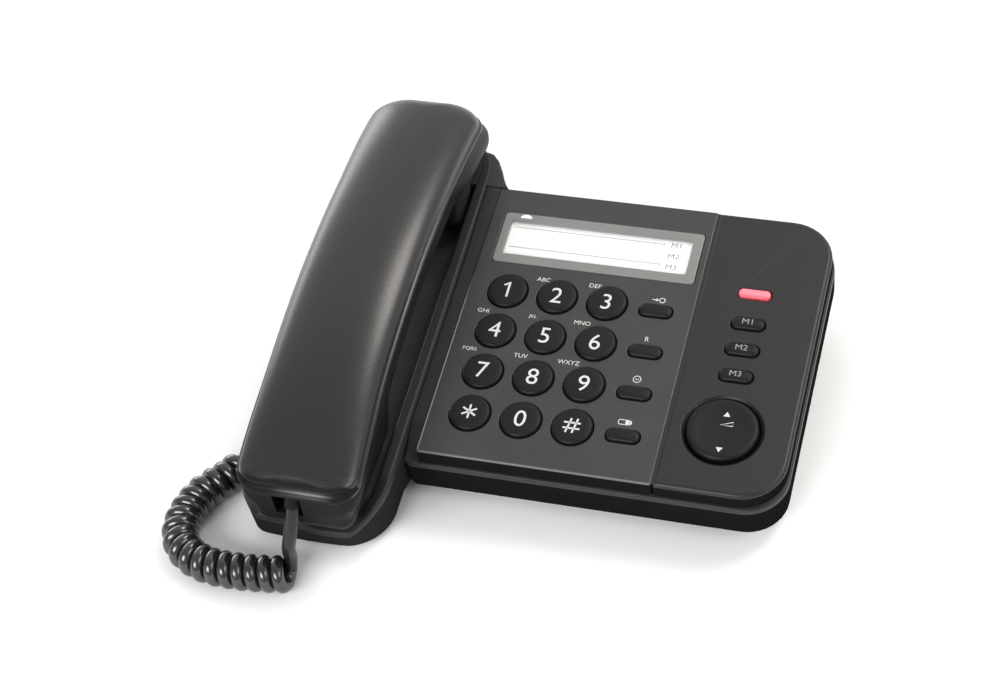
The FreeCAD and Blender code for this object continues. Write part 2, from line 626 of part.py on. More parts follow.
pt = VAL["pcb_top"]
pb = pt - VAL["pcb_thk"]
group("pcb_components", [
    block(14, 24, 40, 50, pt + 0.02, pt + 1.6), block(-6, 4, 42, 49, pt + 0.02, pt + 1.4),
    block(34, 41, 38, 43, pt + 0.02, pt + 2.2), can(48, 46, 2.5, pb - 6.0, pb - 0.02),
    can(55, 46, 3.1, pb - 6.6, pb - 0.02), block(-24, -10, 36, 50, pb - 8.0, pb - 0.02),
    block(2, 9, -30, -22, pb - 2.4, pb - 0.02), block(26, 31, -30, -18, pb - 4.0, pb - 0.02),
    can(14, -24, 2.5, pb - 6.0, pb - 0.02), block(-30, -25, 0, 8, pb - 5.0, pb - 0.02)], PANEL)


def screw(label, head_r, head_h, shaft_r, shaft_len):
    """A pan-head screw, head at the origin, shank along +z, turned in one go."""
    b = new_body(label)
    sk = new_sketch(b, 0, "XZ_Plane")
    poly(sk, [(0, -head_h), (head_r, -head_h), (head_r, 0), (shaft_r, 0), (shaft_r, shaft_len),
              (0, shaft_len)])
    f = b.newObject("PartDesign::Revolution", label + "_turn")
    f.Profile = sk
    f.ReferenceAxis = (sk, ["V_Axis"])
    f.Angle = 360
    doc.recompute()
    return b.Shape


def copies(shape, spots, flip=False):
    out = []
    for x, y, z in spots:
        s = shape.copy()
        s.Placement = Placement(Vector(x, y, z), Rotation(Vector(1, 0, 0), 180 if flip else 0)).multiply(s.Placement)
        out.append(s)
    return out


s1 = screw("base_screw", 2.9, 1.9, 1.2, 8.3)
group("base_screws", copies(s1, [(x, y, VAL["z_bottom"] + 2.69) for x, y in SCREWS]), PANEL)
s2 = screw("board_screw", 2.3, 1.0, 0.95, 6.5)
group("pcb_screws", copies(s2, [(x.v, y.v, pt + 0.02) for x, y in STUDS], flip=True), PANEL)

# ---------------------------------------------------------------- hook switch
b = new_body("hook_plunger")
sk = new_sketch(b, -22.4)
circle(sk, 0, 0, D("hook_r") + 1.6)
pad(b, sk, 1.4)
sk = new_sketch(b, -22.4)
circle(sk, 0, 0, D("hook_r"))
pad(b, sk, D("hook_top") + 22.4)
fillet(b, edges(b, lambda e, m: near(m.z, VAL["hook_top"])), 1.2)
sk = new_sketch(b, -22.4)
circle(sk, 0, 0, D("hook_bore_r"))
pocket(b, sk, 8.2, up=True)
node(b, "hook_plunger", at(PANEL, VAL["hook_x"], VAL["hook_y"]))

# return spring inside the plunger
pitch = VAL["spring_len"] / VAL["spring_turns"]
helix = Part.makeHelix(pitch, VAL["spring_len"], VAL["spring_r"])
start = helix.Edges[0].valueAt(helix.Edges[0].FirstParameter)
ring = Part.Wire(Part.makeCircle(VAL["spring_wire_r"], start, Vector(0, 1, 0)))
coil = Part.Wire(helix.Edges).makePipeShell([ring], True, True)
o = doc.addObject("Part::Feature", "hook_spring")
o.Shape = coil
node(o, "hook_spring", at(PANEL, VAL["hook_x"], VAL["hook_y"], z_floor.v + 0.45))

sw = doc.addObject("Part::Box", "hook_switch_case")
for prop, size in (("Length", 7.5), ("Width", 12.0), ("Height", 6.0)):
    bind(sw, prop, size)
nub = doc.addObject("Part::Cylinder", "hook_switch_nub")
bind(nub, "Radius", 1.0)
bind(nub, "Height", 1.2)
nub.Placement = Placement(Vector(1.6, 6.0, 5.8), Rotation())
fuse = doc.addObject("Part::Fuse", "hook_switch")
fuse.Base, fuse.Tool = sw, nub
node(fuse, "hook_switch", at(PANEL, -57.5, 68.0, z_floor.v + 0.05))

b = new_body("ringer")
sk = new_sketch(b, 0)
circle(sk, 0, 0, 14.0)
pad(b, sk, 4.6)
sk = new_sketch(b, 4.6)
circle(sk, 0, 0, 3.0)
pocket(b, sk, 1.5)
node(b, "ringer", at(PANEL, 58.0, 8.0, z_floor.v + 0.05))


# ---------------------------------------------------------------- sockets and plugs
def socket(label, w, below, above, depth, open_w, open_h, back, placement):
    """A modular socket; its mouth is centred on its own y axis and looks along -y."""
    b = new_body(label)
    height = below + above
    sk = new_sketch(b, 0, "XZ_Plane")
    rrect(sk, w * -0.5, w * 0.5, -below, above, 0.4)
    pad(b, sk, depth)
    sk = new_sketch(b, depth, "XZ_Plane")
    rbox(sk, 0, 0, open_w, open_h, 0.3)
    f = b.newObject("PartDesign::Pocket", label + "_mouth")
    f.Profile = sk
    bind(f, "Length", q(depth) - back)
    doc.recompute()
    if not f.Shape.Volume < q(w).v * q(height).v * q(depth).v * 0.9:
        sys.exit(label + ": the mouth was not cut")
    node(b, label, placement)


# the drawing plane's normal is -y, so the frame is turned to point the mouth
socket("line_jack", D("ljack_w"), 5.6, 5.6, 14.0, D("ljack_open_w"), D("ljack_open_h"), 2.0,
       PANEL.multiply(Placement(Vector(VAL["ljack_x"], 62.2, -17.95), Rotation(Vector(0, 0, 1), 180))))
socket("base_handset_jack", D("hjack_w"), 3.5, VAL["z_bottom"] - VAL["hjack_z"] - 0.05, 12.0,
       D("hjack_open_w"), D("hjack_open_h"), 1.6,
       PANEL.multiply(Placement(Vector(VAL["hjack_x"] + 12.0, VAL["hjack_y"], VAL["hjack_z"]),
                                Rotation(Vector(0, 0, 1), -90))))
# the chin's socket looks forward and down, out of the front face
CHIN = HAND.multiply(Placement(Vector(VAL["chin_jack_x"], VAL["chin_jack_y"], VAL["chin_jack_z"]),
                               Rotation(Vector(1, 0, 0), VAL["chin_jack_lean"])))
socket("handset_jack", D("hjack_w"), 3.8, 3.8, 12.0, D("hjack_open_w"), D("hjack_open_h"), 1.6, at(CHIN, 0, 12.0, 0))


def plug(label, placement):
    """A modular plug with its boot; it leaves its socket along -y of its own frame."""
    b = new_body(label)
    sk = new_sketch(b, 0, "XZ_Plane")
    rbox(sk, 0, 0, D("plug_w"), D("plug_h"), 0.4)
    pad(b, sk, 11.6)
    sk = new_sketch(b, 11.5, "XZ_Plane")
    circle(sk, 0, 0, D("boot_r"))
    pad(b, sk, 4.5)
    fillet(b, edges(b, lambda e, m: near(m.y, -16.0)), 0.5)
    node(b, label, placement)


plug("plug_base", PANEL.multiply(Placement(Vector(VAL["hjack_x"] + 10.2, VAL["hjack_y"], VAL["hjack_z"]),
                                           Rotation(Vector(0, 0, 1), -90))))
plug("plug_handset", at(CHIN, 0, 10.2, 0))

# ---------------------------------------------------------------- stand and feet (level, not tilted)
slope = math.tan(math.radians(VAL["panel_tilt"]))
under0 = VAL["origin_z"] + VAL["z_bottom"] / math.cos(math.radians(VAL["panel_tilt"])) - 0.1


def under(y):
    return under0 + slope * y


b = new_body("desk_stand")
y0, y1, fh = VAL["stand_front"], VAL["stand_rear"], D("foot_h")
sk = new_sketch(b, 1, "YZ_Plane")
poly(sk, [(D("stand_front"), fh), (D("stand_rear"), fh), (D("stand_rear"), under(y1)), (D("stand_front"), under(y0))])
pad(b, sk, 158, both=True)
sk = new_sketch(b, -64, "YZ_Plane")
poly(sk, [(-55, fh), (y0 + 3, fh), (y0 + 3, under(y0 + 3)), (-55, under(-55))])
pad(b, sk, 28, both=True)
sk = new_sketch(b, 1, "YZ_Plane")
poly(sk, [(D("stand_front") + 4, fh + 1.8), (D("stand_rear") - 2, fh + 1.8), (D("stand_rear") - 2, 40), (D("stand_front") + 4, 40)])
pocket(b, sk, 154, both=True)
fillet(b, edges(b, lambda e, m: upright(e) and (near(m.y, y1))), 6.0)
# way for the cord socket through the left wall
jack = PANEL.multVec(Vector(VAL["hjack_x"], VAL["hjack_y"], VAL["hjack_z"])) - GROUND.Base
sk = new_sketch(b, jack.z - 4.3)
rect(sk, -80, -74, jack.y - 6.6, jack.y + 6.6)
pocket(b, sk, 30, up=True)
node(b, "desk_stand", GROUND)

FEET = [(-64.0, -46.0), (68.0, -24.0), (-64.0, 64.0), (68.0, 64.0)]
one = doc.addObject("PartDesign::Body", "rubber_foot")
sk = new_sketch(one, 0)
circle(sk, 0, 0, D("foot_r"))
pad(one, sk, D("foot_h"))
fillet(one, edges(one, lambda e, m: near(m.z, 0)), 0.4)
group("rubber_feet", copies(one.Shape, [(x, y, 0) for x, y in FEET]), GROUND)

# ---------------------------------------------------------------- handset
SEATS = [(-D("screw_y"), D("seat_front")), (D("screw_y"), D("seat_rear"))]
lean = math.radians(VAL["chin_jack_lean"])
fw, upw = Vector(0, -math.cos(lean), -math.sin(lean)), Vector(0, -math.sin(lean), math.cos(lean))
o0 = Vector(0, VAL["chin_jack_y"], VAL["chin_jack_z"])


def chin_slot(body, first, last):
    """Room for the cord socket, between two distances from its mouth."""
    pts = [o0 + fw * a + upw * c for a, c in ((first, -4.0), (last, -4.0), (last, 4.0), (first, 4.0))]
    sk = new_sketch(body, D("chin_jack_x"), "YZ_Plane")
    poly(sk, [(p.y, p.z) for p in pts])
    pocket(body, sk, D("hjack_w") + 0.4, both=True)


def off_bow(m):
    return math.hypot(m.y - VAL["bow_y"], m.z - VAL["bow_z"]) - VAL["bow_r"]


b = new_body("handset_back_cover")
sk = new_sketch(b, 0, "YZ_Plane")
bow(sk, D("bow_r"), D("bow_r") + D("cover_h"), D("hand_front"), D("hand_rear"))
pad(b, sk, D("hand_w"), both=True)
fillet(b, edges(b, lambda e, m: upright(e)), D("hand_r"))
fillet(b, edges(b, lambda e, m: near(off_bow(m), VAL["cover_h"], 0.05)), D("cover_round"))
sk = new_sketch(b, 0, "YZ_Plane")
bow(sk, D("bow_r") - 0.1, D("bow_r") + 6.4, D("hand_front") + 9.5, D("hand_rear") - 9.5)
pocket(b, sk, D("hand_w") - 8, both=True)
for y, z in SEATS:
    sk = new_sketch(b, z - 0.3)
    circle(sk, 0, y, 3.0)
    pad(b, sk, 7.6)
    sk = new_sketch(b, z - 0.3)
    circle(sk, 0, y, 1.1)
    pocket(b, sk, 6.0, up=True)
chin_slot(b, -12.5, -1.2)
node(b, "handset_back_cover", HAND)

b = new_body("handset_front_shell")
sk = new_sketch(b, 0, "YZ_Plane")
bow(sk, D("bow_r") - D("grip_depth"), D("bow_r") - 0.4, D("hand_front") + 1.5, D("hand_rear") - 1.5)
pad(b, sk, D("grip_w"), both=True)
fillet(b, edges(b, lambda e, m: upright(e)), D("hand_r") - 1.5)
sk = new_sketch(b, -D("ear_depth"))
rbox(sk, 0, D("ear_y"), D("cup_w"), D("ear_len"), 9.0)
pad(b, sk, D("ear_depth") - 0.4)
fillet(b, edges(b, lambda e, m: near(m.z, -VAL["ear_depth"])), 4.0)
# the mouth end: a deep cup whose front face runs down from the parting line
sk = new_sketch(b, -D("mouth_depth"))
rbox(sk, 0, -65.0, D("cup_w"), 42.0, 10.0)
pad(b, sk, D("mouth_depth") - 1.0)
sk = new_sketch(b, 0, "YZ_Plane")
bow(sk, D("bow_r") - 0.45, D("bow_r") + 20, -110, -70)
pocket(b, sk, 60, both=True)
fillet(b, edges(b, lambda e, m: near(m.z, -VAL["mouth_depth"])), 8.0)
sk = new_sketch(b, 0, "YZ_Plane")
bow(sk, D("bow_r") - D("grip_depth") + 2.2, D("bow_r"), D("hand_front") + 9.0, D("hand_rear") - 9.0)
pocket(b, sk, D("grip_w") - 4, both=True)
sk = new_sketch(b, 10)
rbox(sk, 0, D("ear_y"), D("cup_w") - 4.4, D("ear_len") - 4.4, 6.8)
pocket(b, sk, D("ear_depth") + 10 - 2.2)
sk = new_sketch(b, 8)
rbox(sk, 0, -59.75, D("cup_w") - 10.5, 22.5, 6.5)
pocket(b, sk, D("mouth_depth") + 8 - 2.2)
sk = new_sketch(b, 8)
rbox(sk, 0, -64.0, D("cup_w") - 5.0, 35.0, 7.5)
pocket(b, sk, 22.0)
for y, z in SEATS:
    sk = new_sketch(b, z - 9.0)
    circle(sk, 0, y, 3.9)
    pad(b, sk, 8.3)
    sk = new_sketch(b, z - 12.0)
    circle(sk, 0, y, 1.5)
    pocket(b, sk, 12.0, up=True)
    sk = new_sketch(b, z - 12.0)
    circle(sk, 0, y, 2.8)
    pocket(b, sk, 7.0, up=True)
# sound holes of the earpiece and of the microphone
sk = new_sketch(b, -D("ear_depth") - 0.1)
circle(sk, 0, D("ear_y"), 1.0)
for i in range(6):
    circle(sk, 5.0 * math.cos(i * math.pi / 3), D("ear_y") + 5.0 * math.sin(i * math.pi / 3), 1.0)
pocket(b, sk, 3, up=True)
sk = new_sketch(b, -D("mouth_depth") - 0.1)
circle(sk, 0, D("mouth_y"), 0.9)
pocket(b, sk, 3, up=True)
# mouth of the cord socket in the chin's front face
chin_slot(b, -12.5, 9.0)
node(b, "handset_front_shell", HAND)

s3 = screw("handset_screw", 2.5, 1.4, 1.0, 9.0)
group("handset_screws", copies(s3, [(0, y.v, z.v - 5.04) for y, z in SEATS]), HAND)

b = new_body("receiver_gasket")
sk = new_sketch(b, -D("ear_depth") + 2.25)
circle(sk, 0, D("ear_y"), 13.2)
circle(sk, 0, D("ear_y"), 9.0)
pad(b, sk, 1.2)
node(b, "receiver_gasket", HAND)

b = new_body("receiver_capsule")
sk = new_sketch(b, -D("ear_depth") + 3.5)
circle(sk, 0, D("ear_y"), 13.2)
pad(b, sk, 4.2)
sk = new_sketch(b, -D("ear_depth") + 7.6)
circle(sk, 0, D("ear_y"), 8.0)
pad(b, sk, 3.6)
node(b, "receiver_capsule", HAND)

b = new_body("microphone_boot")
sk = new_sketch(b, -D("mouth_depth") + 2.25)
circle(sk, 0, D("mouth_y"), 6.8)
pad(b, sk, 6.0)
sk = new_sketch(b, -D("mouth_depth") + 8.25)
circle(sk, 0, D("mouth_y"), 4.85)
pocket(b, sk, 4.6)
sk = new_sketch(b, -D("mouth_depth") + 8.25)
circle(sk, 0, D("mouth_y"), 1.0)
pocket(b, sk, 6.5)
node(b, "microphone_boot", HAND)

b = new_body("microphone_capsule")
sk = new_sketch(b, -D("mouth_depth") + 3.7)
circle(sk, 0, D("mouth_y"), 4.8)
pad(b, sk, 4.0)
node(b, "microphone_capsule", HAND)

wt = doc.addObject("Part::Box", "handset_weight_bar")
for prop, size in (("Length", 24.0), ("Width", 52.0), ("Height", 5.0)):
    bind(wt, prop, size)
node(wt, "handset_weight", at(HAND, -12.0, -26.0, 4.05))


# ---------------------------------------------------------------- handset cord
def tube(label, points, radius):
    """A round tube along straight runs joined by tangent arcs, each as large as its runs allow."""
    pts = [Vector(*p) for p in points]
    cut, radii, parts = [], [], []
    for i in range(1, len(pts) - 1):
        a, b2 = pts[i - 1] - pts[i], pts[i + 1] - pts[i]
        turn = math.pi - a.getAngle(b2)
        back = 0.45 * min(a.Length, b2.Length)
        radii.append(back / math.tan(turn / 2))
        ua, ub = Vector(a).normalize(), Vector(b2).normalize()
        t0, t1 = pts[i] + ua * back, pts[i] + ub * back
        half = (ua + ub).normalize()
        mid = pts[i] + half * (radii[-1] / math.cos(turn / 2) - radii[-1])
        cut.append((t0, mid, t1))
    here = pts[0]
    for t0, mid, t1 in cut:
        parts.append(Part.LineSegment(here, t0).toShape())
        parts.append(Part.Arc(t0, mid, t1).toShape())
        here = t1
    parts.append(Part.LineSegment(here, pts[-1]).toShape())
    path = Part.Wire(parts)
    ring = Part.Wire(Part.makeCircle(radius, pts[0], pts[1] - pts[0]))
    solid = path.makePipeShell([ring], True, False)
    want = math.pi * radius ** 2 * path.Length
    print("%s: path %.1f mm, volume %.1f against %.1f, radii %s" %
          (label, path.Length, solid.Volume, want, [round(r, 1) for r in radii]))
    if abs(solid.Volume - want) > 0.01 * want:
        sys.exit(label + ": the tube's volume is off")
    o = doc.addObject("Part::Feature", label)
    o.Shape = solid
    return node(o, label, GROUND)


Z = VAL["coil_r"] + 0.1
COIL = [(-101.3, -38.5, Z), (-102.6, -43.6, Z), (-106.4, -49.2, Z), (-112.9, -56.8, Z), (-115.6, -71.0, Z),
        (-110.8, -82.0, Z), (-99.8, -87.8, Z), (-85.0, -88.0, Z), (-74.0, -86.9, Z), (-66.6, -85.6, Z)]
boot = PANEL.multVec(Vector(VAL["hjack_x"] - 5.94, VAL["hjack_y"], VAL["hjack_z"])) - GROUND.Base
TAIL_BASE = [tuple(boot), (-91.8, 34.1, 9.4), (-99.0, 29.7, 8.2), (-102.6, 22.2, 6.4), (-103.2, 13.4, 4.3),
             (-102.6, 1.5, 2.8), (-101.6, -12.0, 2.5), (-100.9, -26.0, 2.6), (-101.28, -37.85, 2.7)]
chin = CHIN.multVec(Vector(0, -5.92, 0)) - GROUND.Base
TAIL_HAND = [tuple(chin), (-66.4, -80.6, 29.3), (-67.0, -83.0, 24.8), (-68.0, -84.9, 20.4), (-68.9, -85.6, 17.2)]
print("boot end", [round(c, 2) for c in boot], "chin end", [round(c, 2) for c in chin])
tube("cord_coil", COIL, VAL["coil_r"])
tube("cord_tail_base", TAIL_BASE, VAL["wire_r"])
tube("cord_tail_handset", TAIL_HAND, VAL["wire_r"])

# ---------------------------------------------------------------- checks and files
doc.recompute()
bad = [o.Name for o in doc.Objects if "Invalid" in o.State or "Error" in o.State]
if bad:
    sys.exit("failed objects: %s" % bad)
box = FreeCAD.BoundBox()
for label, o in NODES.items():
    s = o.Shape
    if s.isNull() or not s.isValid() or not s.Solids:
        sys.exit("%s: no valid solid" % label)
    if not label.startswith(("cord_", "plug_")):
        box.add(s.optimalBoundingBox(True, False))
print("%d nodes; box without the cord: x %.3f %.3f  y %.3f %.3f  z %.3f %.3f" %
      (len(NODES), box.XMin, box.XMax, box.YMin, box.YMax, box.ZMin, box.ZMax))
os.makedirs("parts", exist_ok=True)
for label, o in NODES.items():
    o.Shape.exportStep("parts/%s.step" % label)
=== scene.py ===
import math
import bpy
from mathutils import Matrix, Vector
from mathutils.geometry import tessellate_polygon


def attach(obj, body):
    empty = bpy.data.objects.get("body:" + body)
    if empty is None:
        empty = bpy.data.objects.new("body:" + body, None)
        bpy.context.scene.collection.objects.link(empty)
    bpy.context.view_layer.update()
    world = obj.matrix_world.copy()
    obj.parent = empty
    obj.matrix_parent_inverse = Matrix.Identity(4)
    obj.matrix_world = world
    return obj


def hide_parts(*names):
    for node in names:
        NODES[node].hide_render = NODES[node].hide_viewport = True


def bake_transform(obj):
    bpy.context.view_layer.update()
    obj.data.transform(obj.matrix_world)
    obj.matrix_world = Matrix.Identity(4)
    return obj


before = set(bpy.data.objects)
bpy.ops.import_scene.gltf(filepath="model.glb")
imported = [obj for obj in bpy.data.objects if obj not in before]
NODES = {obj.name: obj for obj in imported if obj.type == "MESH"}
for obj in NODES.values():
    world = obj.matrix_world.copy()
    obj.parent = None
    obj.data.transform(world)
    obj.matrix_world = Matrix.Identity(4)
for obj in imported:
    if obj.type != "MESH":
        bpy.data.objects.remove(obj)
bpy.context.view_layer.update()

MM = 0.001

# ------------------------------------------------------------------ frames
# Ground frame: millimetres on the table.  Panel frame: key-top level, tilted
# 8 degrees.  Handset frame: y along the handset, whose parting line is a bow.
OFFSET = Vector((-1.355, -10.422, 0.0))
TILT = Matrix.Rotation(math.radians(8.0), 4, "X")
GROUND = Matrix.Scale(MM, 4) @ Matrix.Translation(OFFSET)
PANEL = GROUND @ Matrix.Translation((0, 0, 37.6)) @ TILT
HAND = PANEL @ Matrix.Translation((-64.2, 9.0, 14.5)) @ Matrix.Rotation(math.radians(-3.7), 4, "X")

Z_PANEL = -3.1
Z_DECK = -9.6
Z_BOTTOM = -25.9


# ------------------------------------------------------------------ mesh tools
class Shape:
    """Vertices, faces and face materials of one piece, in the frame it is drawn in."""

    def __init__(self):
        self.v, self.f, self.m = [], [], []

    def add(self, verts, faces, mat=0):
        k = len(self.v)
        self.v += [tuple(p) for p in verts]
        self.f += [tuple(k + i for i in f) for f in faces]
        self.m += [mat] * len(faces)

    def loft(self, rings, mat=0, cap0=False, cap1=False, closed=True):
        n = len(rings[0])
        verts = [p for r in rings for p in r]
        faces = []
        for i in range(len(rings) - 1):
            for j in range(n if closed else n - 1):
                a, b = i * n + j, i * n + (j + 1) % n
                faces.append((a, b, b + n, a + n))
        if cap0:
            faces.append(tuple(reversed(range(n))))
        if cap1:
            faces.append(tuple((len(rings) - 1) * n + j for j in range(n)))
        if isinstance(mat, list):
            per = n if closed else n - 1
            self.add(verts, faces, mat[-1])
            for i, m in enumerate(mat):
                for j in range(per):
                    self.m[len(self.m) - len(faces) + i * per + j] = m
        else:
            self.add(verts, faces, mat)

    def fill(self, loops, z, mat=0, flip=False):
        """A flat face at height z with holes; the first loop is its outline."""
        pts = [Vector((p[0], p[1], z)) for l in loops for p in l]
        tris = tessellate_polygon([[Vector((p[0], p[1], 0)) for p in l] for l in loops])
        faces = []
        for a, b, c in tris:
            up = (pts[b] - pts[a]).cross(pts[c] - pts[a]).z > 0
            faces.append((a, b, c) if up != flip else (a, c, b))
        self.add(pts, faces, mat)

    def lathe(self, profile, cx=0.0, cy=0.0, n=64, mat=0):
        """A turned shape from (radius, height) pairs, from the outside foot to the middle."""
        rings = []
        for r, z in profile:
            rings.append([(cx + max(r, 0.0005) * math.cos(2 * math.pi * i / n),
                           cy + max(r, 0.0005) * math.sin(2 * math.pi * i / n), z) for i in range(n)])
        self.loft(rings, mat)


def make(name, shape, matrix, mats, body, replaced=(), sharp=38.0):
    me = bpy.data.meshes.new(name)
    me.from_pydata([matrix @ Vector(p) for p in shape.v], [], shape.f)
    for p, m in zip(me.polygons, shape.m):
        p.material_index = m
    me.validate()
    for p in me.polygons:
        p.use_smooth = True
    me.set_sharp_from_angle(angle=math.radians(sharp))
    for m in mats:
        me.materials.append(m)
    ob = bpy.data.objects.new(name, me)
    bpy.context.scene.collection.objects.link(ob)
    if body:
        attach(ob, body)
    if replaced:
        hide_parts(*replaced)
    return ob


def rrect(x0, x1, y0, y1, radii, off=0.0, n=10):
    """Rounded rectangle, counter-clockwise; radii front-left, front-right, rear-right, rear-left."""
    if not isinstance(radii, (tuple, list)):
        radii = (radii,) * 4
    x0, x1, y0, y1 = x0 + off, x1 - off, y0 + off, y1 - off
    out = []
    for r, sx, sy, a0 in zip(radii, (x0, x1, x1, x0), (y0, y0, y1, y1), (180, 270, 0, 90)):
        r = max(r - off, 0.03)
        cx = sx + r if sx == x0 else sx - r
        cy = sy + r if sy == y0 else sy - r
        for i in range(n + 1):
            a = math.radians(a0 + 90.0 * i / n)
            out.append((cx + r * math.cos(a), cy + r * math.sin(a)))
    return out


def at(loop, z):
    return [(x, y, z) for x, y in loop]


def circle(cx, cy, r, n=64):
    return [(cx + r * math.cos(2 * math.pi * i / n), cy + r * math.sin(2 * math.pi * i / n)) for i in range(n)]


def quarter(r, n=6):
    """(inward, down) steps of a rounded edge, from the flat top to the wall."""
    return [(r - r * math.sin(math.pi / 2 * i / n), r - r * math.cos(math.pi / 2 * i / n)) for i in range(n + 1)]


def smooth(t):
    t = min(1.0, max(0.0, t))
    return t * t * (3 - 2 * t)


def plate(shape, outline, holes, z, foot, r, hole_r, hole_foot, mat=0):
    """A plate with a rounded rim; outline and holes are functions of an inward offset."""
    shape.fill([outline(r + 0.15)] + [h(-hole_r - 0.15) for h in holes], z, mat)
    rings = [at(outline(r + 0.15), z)] + [at(outline(i), z - d) for i, d in quarter(r)] + [at(outline(0.0), foot)]
    shape.loft([list(reversed(k)) for k in rings], mat)
    for h in holes:
        rings = [at(h(-hole_r - 0.15), z)] + [at(h(-i), z - d) for i, d in quarter(hole_r, 4)] + [at(h(0.0), hole_foot)]
        shape.loft(rings, mat)


def text(body, height, bold=0.0, width=1.0):
    """A flat word as (points, faces), middle at the origin, capitals of that height."""
    cu = bpy.data.curves.new("word", "FONT")
    cu.body, cu.size, cu.resolution_u = body, 1.0, 4
    cu.offset = bold
    ob = bpy.data.objects.new("word", cu)
    bpy.context.scene.collection.objects.link(ob)
    bpy.context.view_layer.update()
    me = bpy.data.meshes.new_from_object(ob.evaluated_get(bpy.context.evaluated_depsgraph_get()))
    pts = [(v.co.x, v.co.y) for v in me.vertices]
    faces = [tuple(p.vertices) for p in me.polygons]
    bpy.data.objects.remove(ob)
    bpy.data.curves.remove(cu)
    bpy.data.meshes.remove(me)
    lo = [min(p[i] for p in pts) for i in (0, 1)]
    hi = [max(p[i] for p in pts) for i in (0, 1)]
    s = height / (hi[1] - lo[1])
    pts = [((x - (lo[0] + hi[0]) / 2) * s * width, (y - (lo[1] + hi[1]) / 2) * s) for x, y in pts]
    return pts, faces


def put(shape, flat, x, y, z, mat=0):
    """Prints flat points on a face that looks up at height z."""
    pts, faces = flat
    out = []
    for f in faces:
        a, b, c = (pts[i] for i in f[:3])
        area = (b[0] - a[0]) * (c[1] - a[1]) - (b[1] - a[1]) * (c[0] - a[0])
        out.append(f if area > 0 else tuple(reversed(f)))
    shape.add([(x + px, y + py, z) for px, py in pts], out, mat)


def stroke(points, w, closed=False):
    """A flat line of width w along 2D points."""
    n = len(points)
    left, right = [], []
    for i in range(n):
        a = points[i - 1] if i or closed else points[i]
        b = points[(i + 1) % n] if i < n - 1 or closed else points[i]
        dx, dy = b[0] - a[0], b[1] - a[1]
        l = math.hypot(dx, dy)
        nx, ny = -dy / l * w / 2, dx / l * w / 2
        left.append((points[i][0] + nx, points[i][1] + ny))
        right.append((points[i][0] - nx, points[i][1] - ny))
    m = n if closed else n - 1
    faces = [(n + i, n + (i + 1) % n, (i + 1) % n, i) for i in range(m)]
    return left + right, faces


# ------------------------------------------------------------------ materials
def material(name):
    m = bpy.data.materials.new(name)
    m.use_nodes = True
    nt = m.node_tree
    return m, nt, nt.nodes["Principled BSDF"]


def grain_nodes(nt, bsdf, color, vary, rough, rough_vary, grain, bump, broad=90.0):
    """Cloudy colour and roughness at one scale, a fine moulded texture at another."""
    co = nt.nodes.new("ShaderNodeTexCoord")
    big = nt.nodes.new("ShaderNodeTexNoise")
    big.inputs["Scale"].default_value = broad
    big.inputs["Detail"].default_value = 4.0
    nt.links.new(co.outputs["Object"], big.inputs["Vector"])
    ramp = nt.nodes.new("ShaderNodeValToRGB")
    ramp.color_ramp.elements[0].position, ramp.color_ramp.elements[1].position = 0.3, 0.7
    ramp.color_ramp.elements[0].color = [c * (1 - vary) for c in color] + [1]
    ramp.color_ramp.elements[1].color = [c * (1 + vary) for c in color] + [1]
    nt.links.new(big.outputs["Fac"], ramp.inputs["Fac"])
    nt.links.new(ramp.outputs["Color"], bsdf.inputs["Base Color"])
    fine = nt.nodes.new("ShaderNodeTexNoise")
    fine.inputs["Scale"].default_value = 1.0 / (grain * MM)
    fine.inputs["Detail"].default_value = 2.0
    nt.links.new(co.outputs["Object"], fine.inputs["Vector"])
    rr = nt.nodes.new("ShaderNodeMapRange")
    rr.inputs["From Min"].default_value, rr.inputs["From Max"].default_value = 0.3, 0.7
    rr.inputs["To Min"].default_value, rr.inputs["To Max"].default_value = rough - rough_vary, rough + rough_vary
    nt.links.new(fine.outputs["Fac"], rr.inputs["Value"])
    nt.links.new(rr.outputs["Result"], bsdf.inputs["Roughness"])
    bp = nt.nodes.new("ShaderNodeBump")
    bp.inputs["Strength"].default_value = bump
    bp.inputs["Distance"].default_value = grain * 0.2 * MM
    nt.links.new(fine.outputs["Fac"], bp.inputs["Height"])
    nt.links.new(bp.outputs["Normal"], bsdf.inputs["Normal"])


def plastic(name, color, rough, vary=0.06, rough_vary=0.05, grain=0.35, bump=0.25, spec=0.5, coat=0.0):
    m, nt, b = material(name)
    grain_nodes(nt, b, color, vary, rough, rough_vary, grain, bump)
    b.inputs["Specular IOR Level"].default_value = spec
    if coat:
        b.inputs["Coat Weight"].default_value = coat
        b.inputs["Coat Roughness"].default_value = 0.12
    return m


CASE = plastic("case_plastic", (0.016, 0.0162, 0.016), 0.42)
DECK = plastic("deck_plastic", (0.0085, 0.009, 0.0088), 0.42, spec=0.42)
# painted shade: a darker copy of the case plastic with no specular, for the upright side walls
SIDE_SHADED = plastic("side_painted_shade", (0.0095, 0.0095, 0.0095), 0.45, spec=0.0)
WALL = plastic("wall_plastic", (0.022, 0.022, 0.022), 0.45, spec=0.0)
# painted fill light: a much lighter copy of the case plastic inside the cradle's trough and on the hook plunger, where
# shade falls
TROUGH_FILL = plastic("trough_painted_fill_light", (0.055, 0.055, 0.055), 0.5, spec=0.15)
# painted light: a lighter copy of the case plastic for the cradle's rim
RIM_LIT = plastic("rim_painted_light", (0.024, 0.024, 0.024), 0.5, spec=0.25)
# painted highlight: a lighter copy of the plate plastic for the bevel along the dial plate's front edge
EDGE_HIGHLIGHT = plastic("edge_plastic", (0.10, 0.10, 0.098), 0.38)
GLINT = plastic("edge_glint_plastic", (0.27, 0.27, 0.265), 0.38)
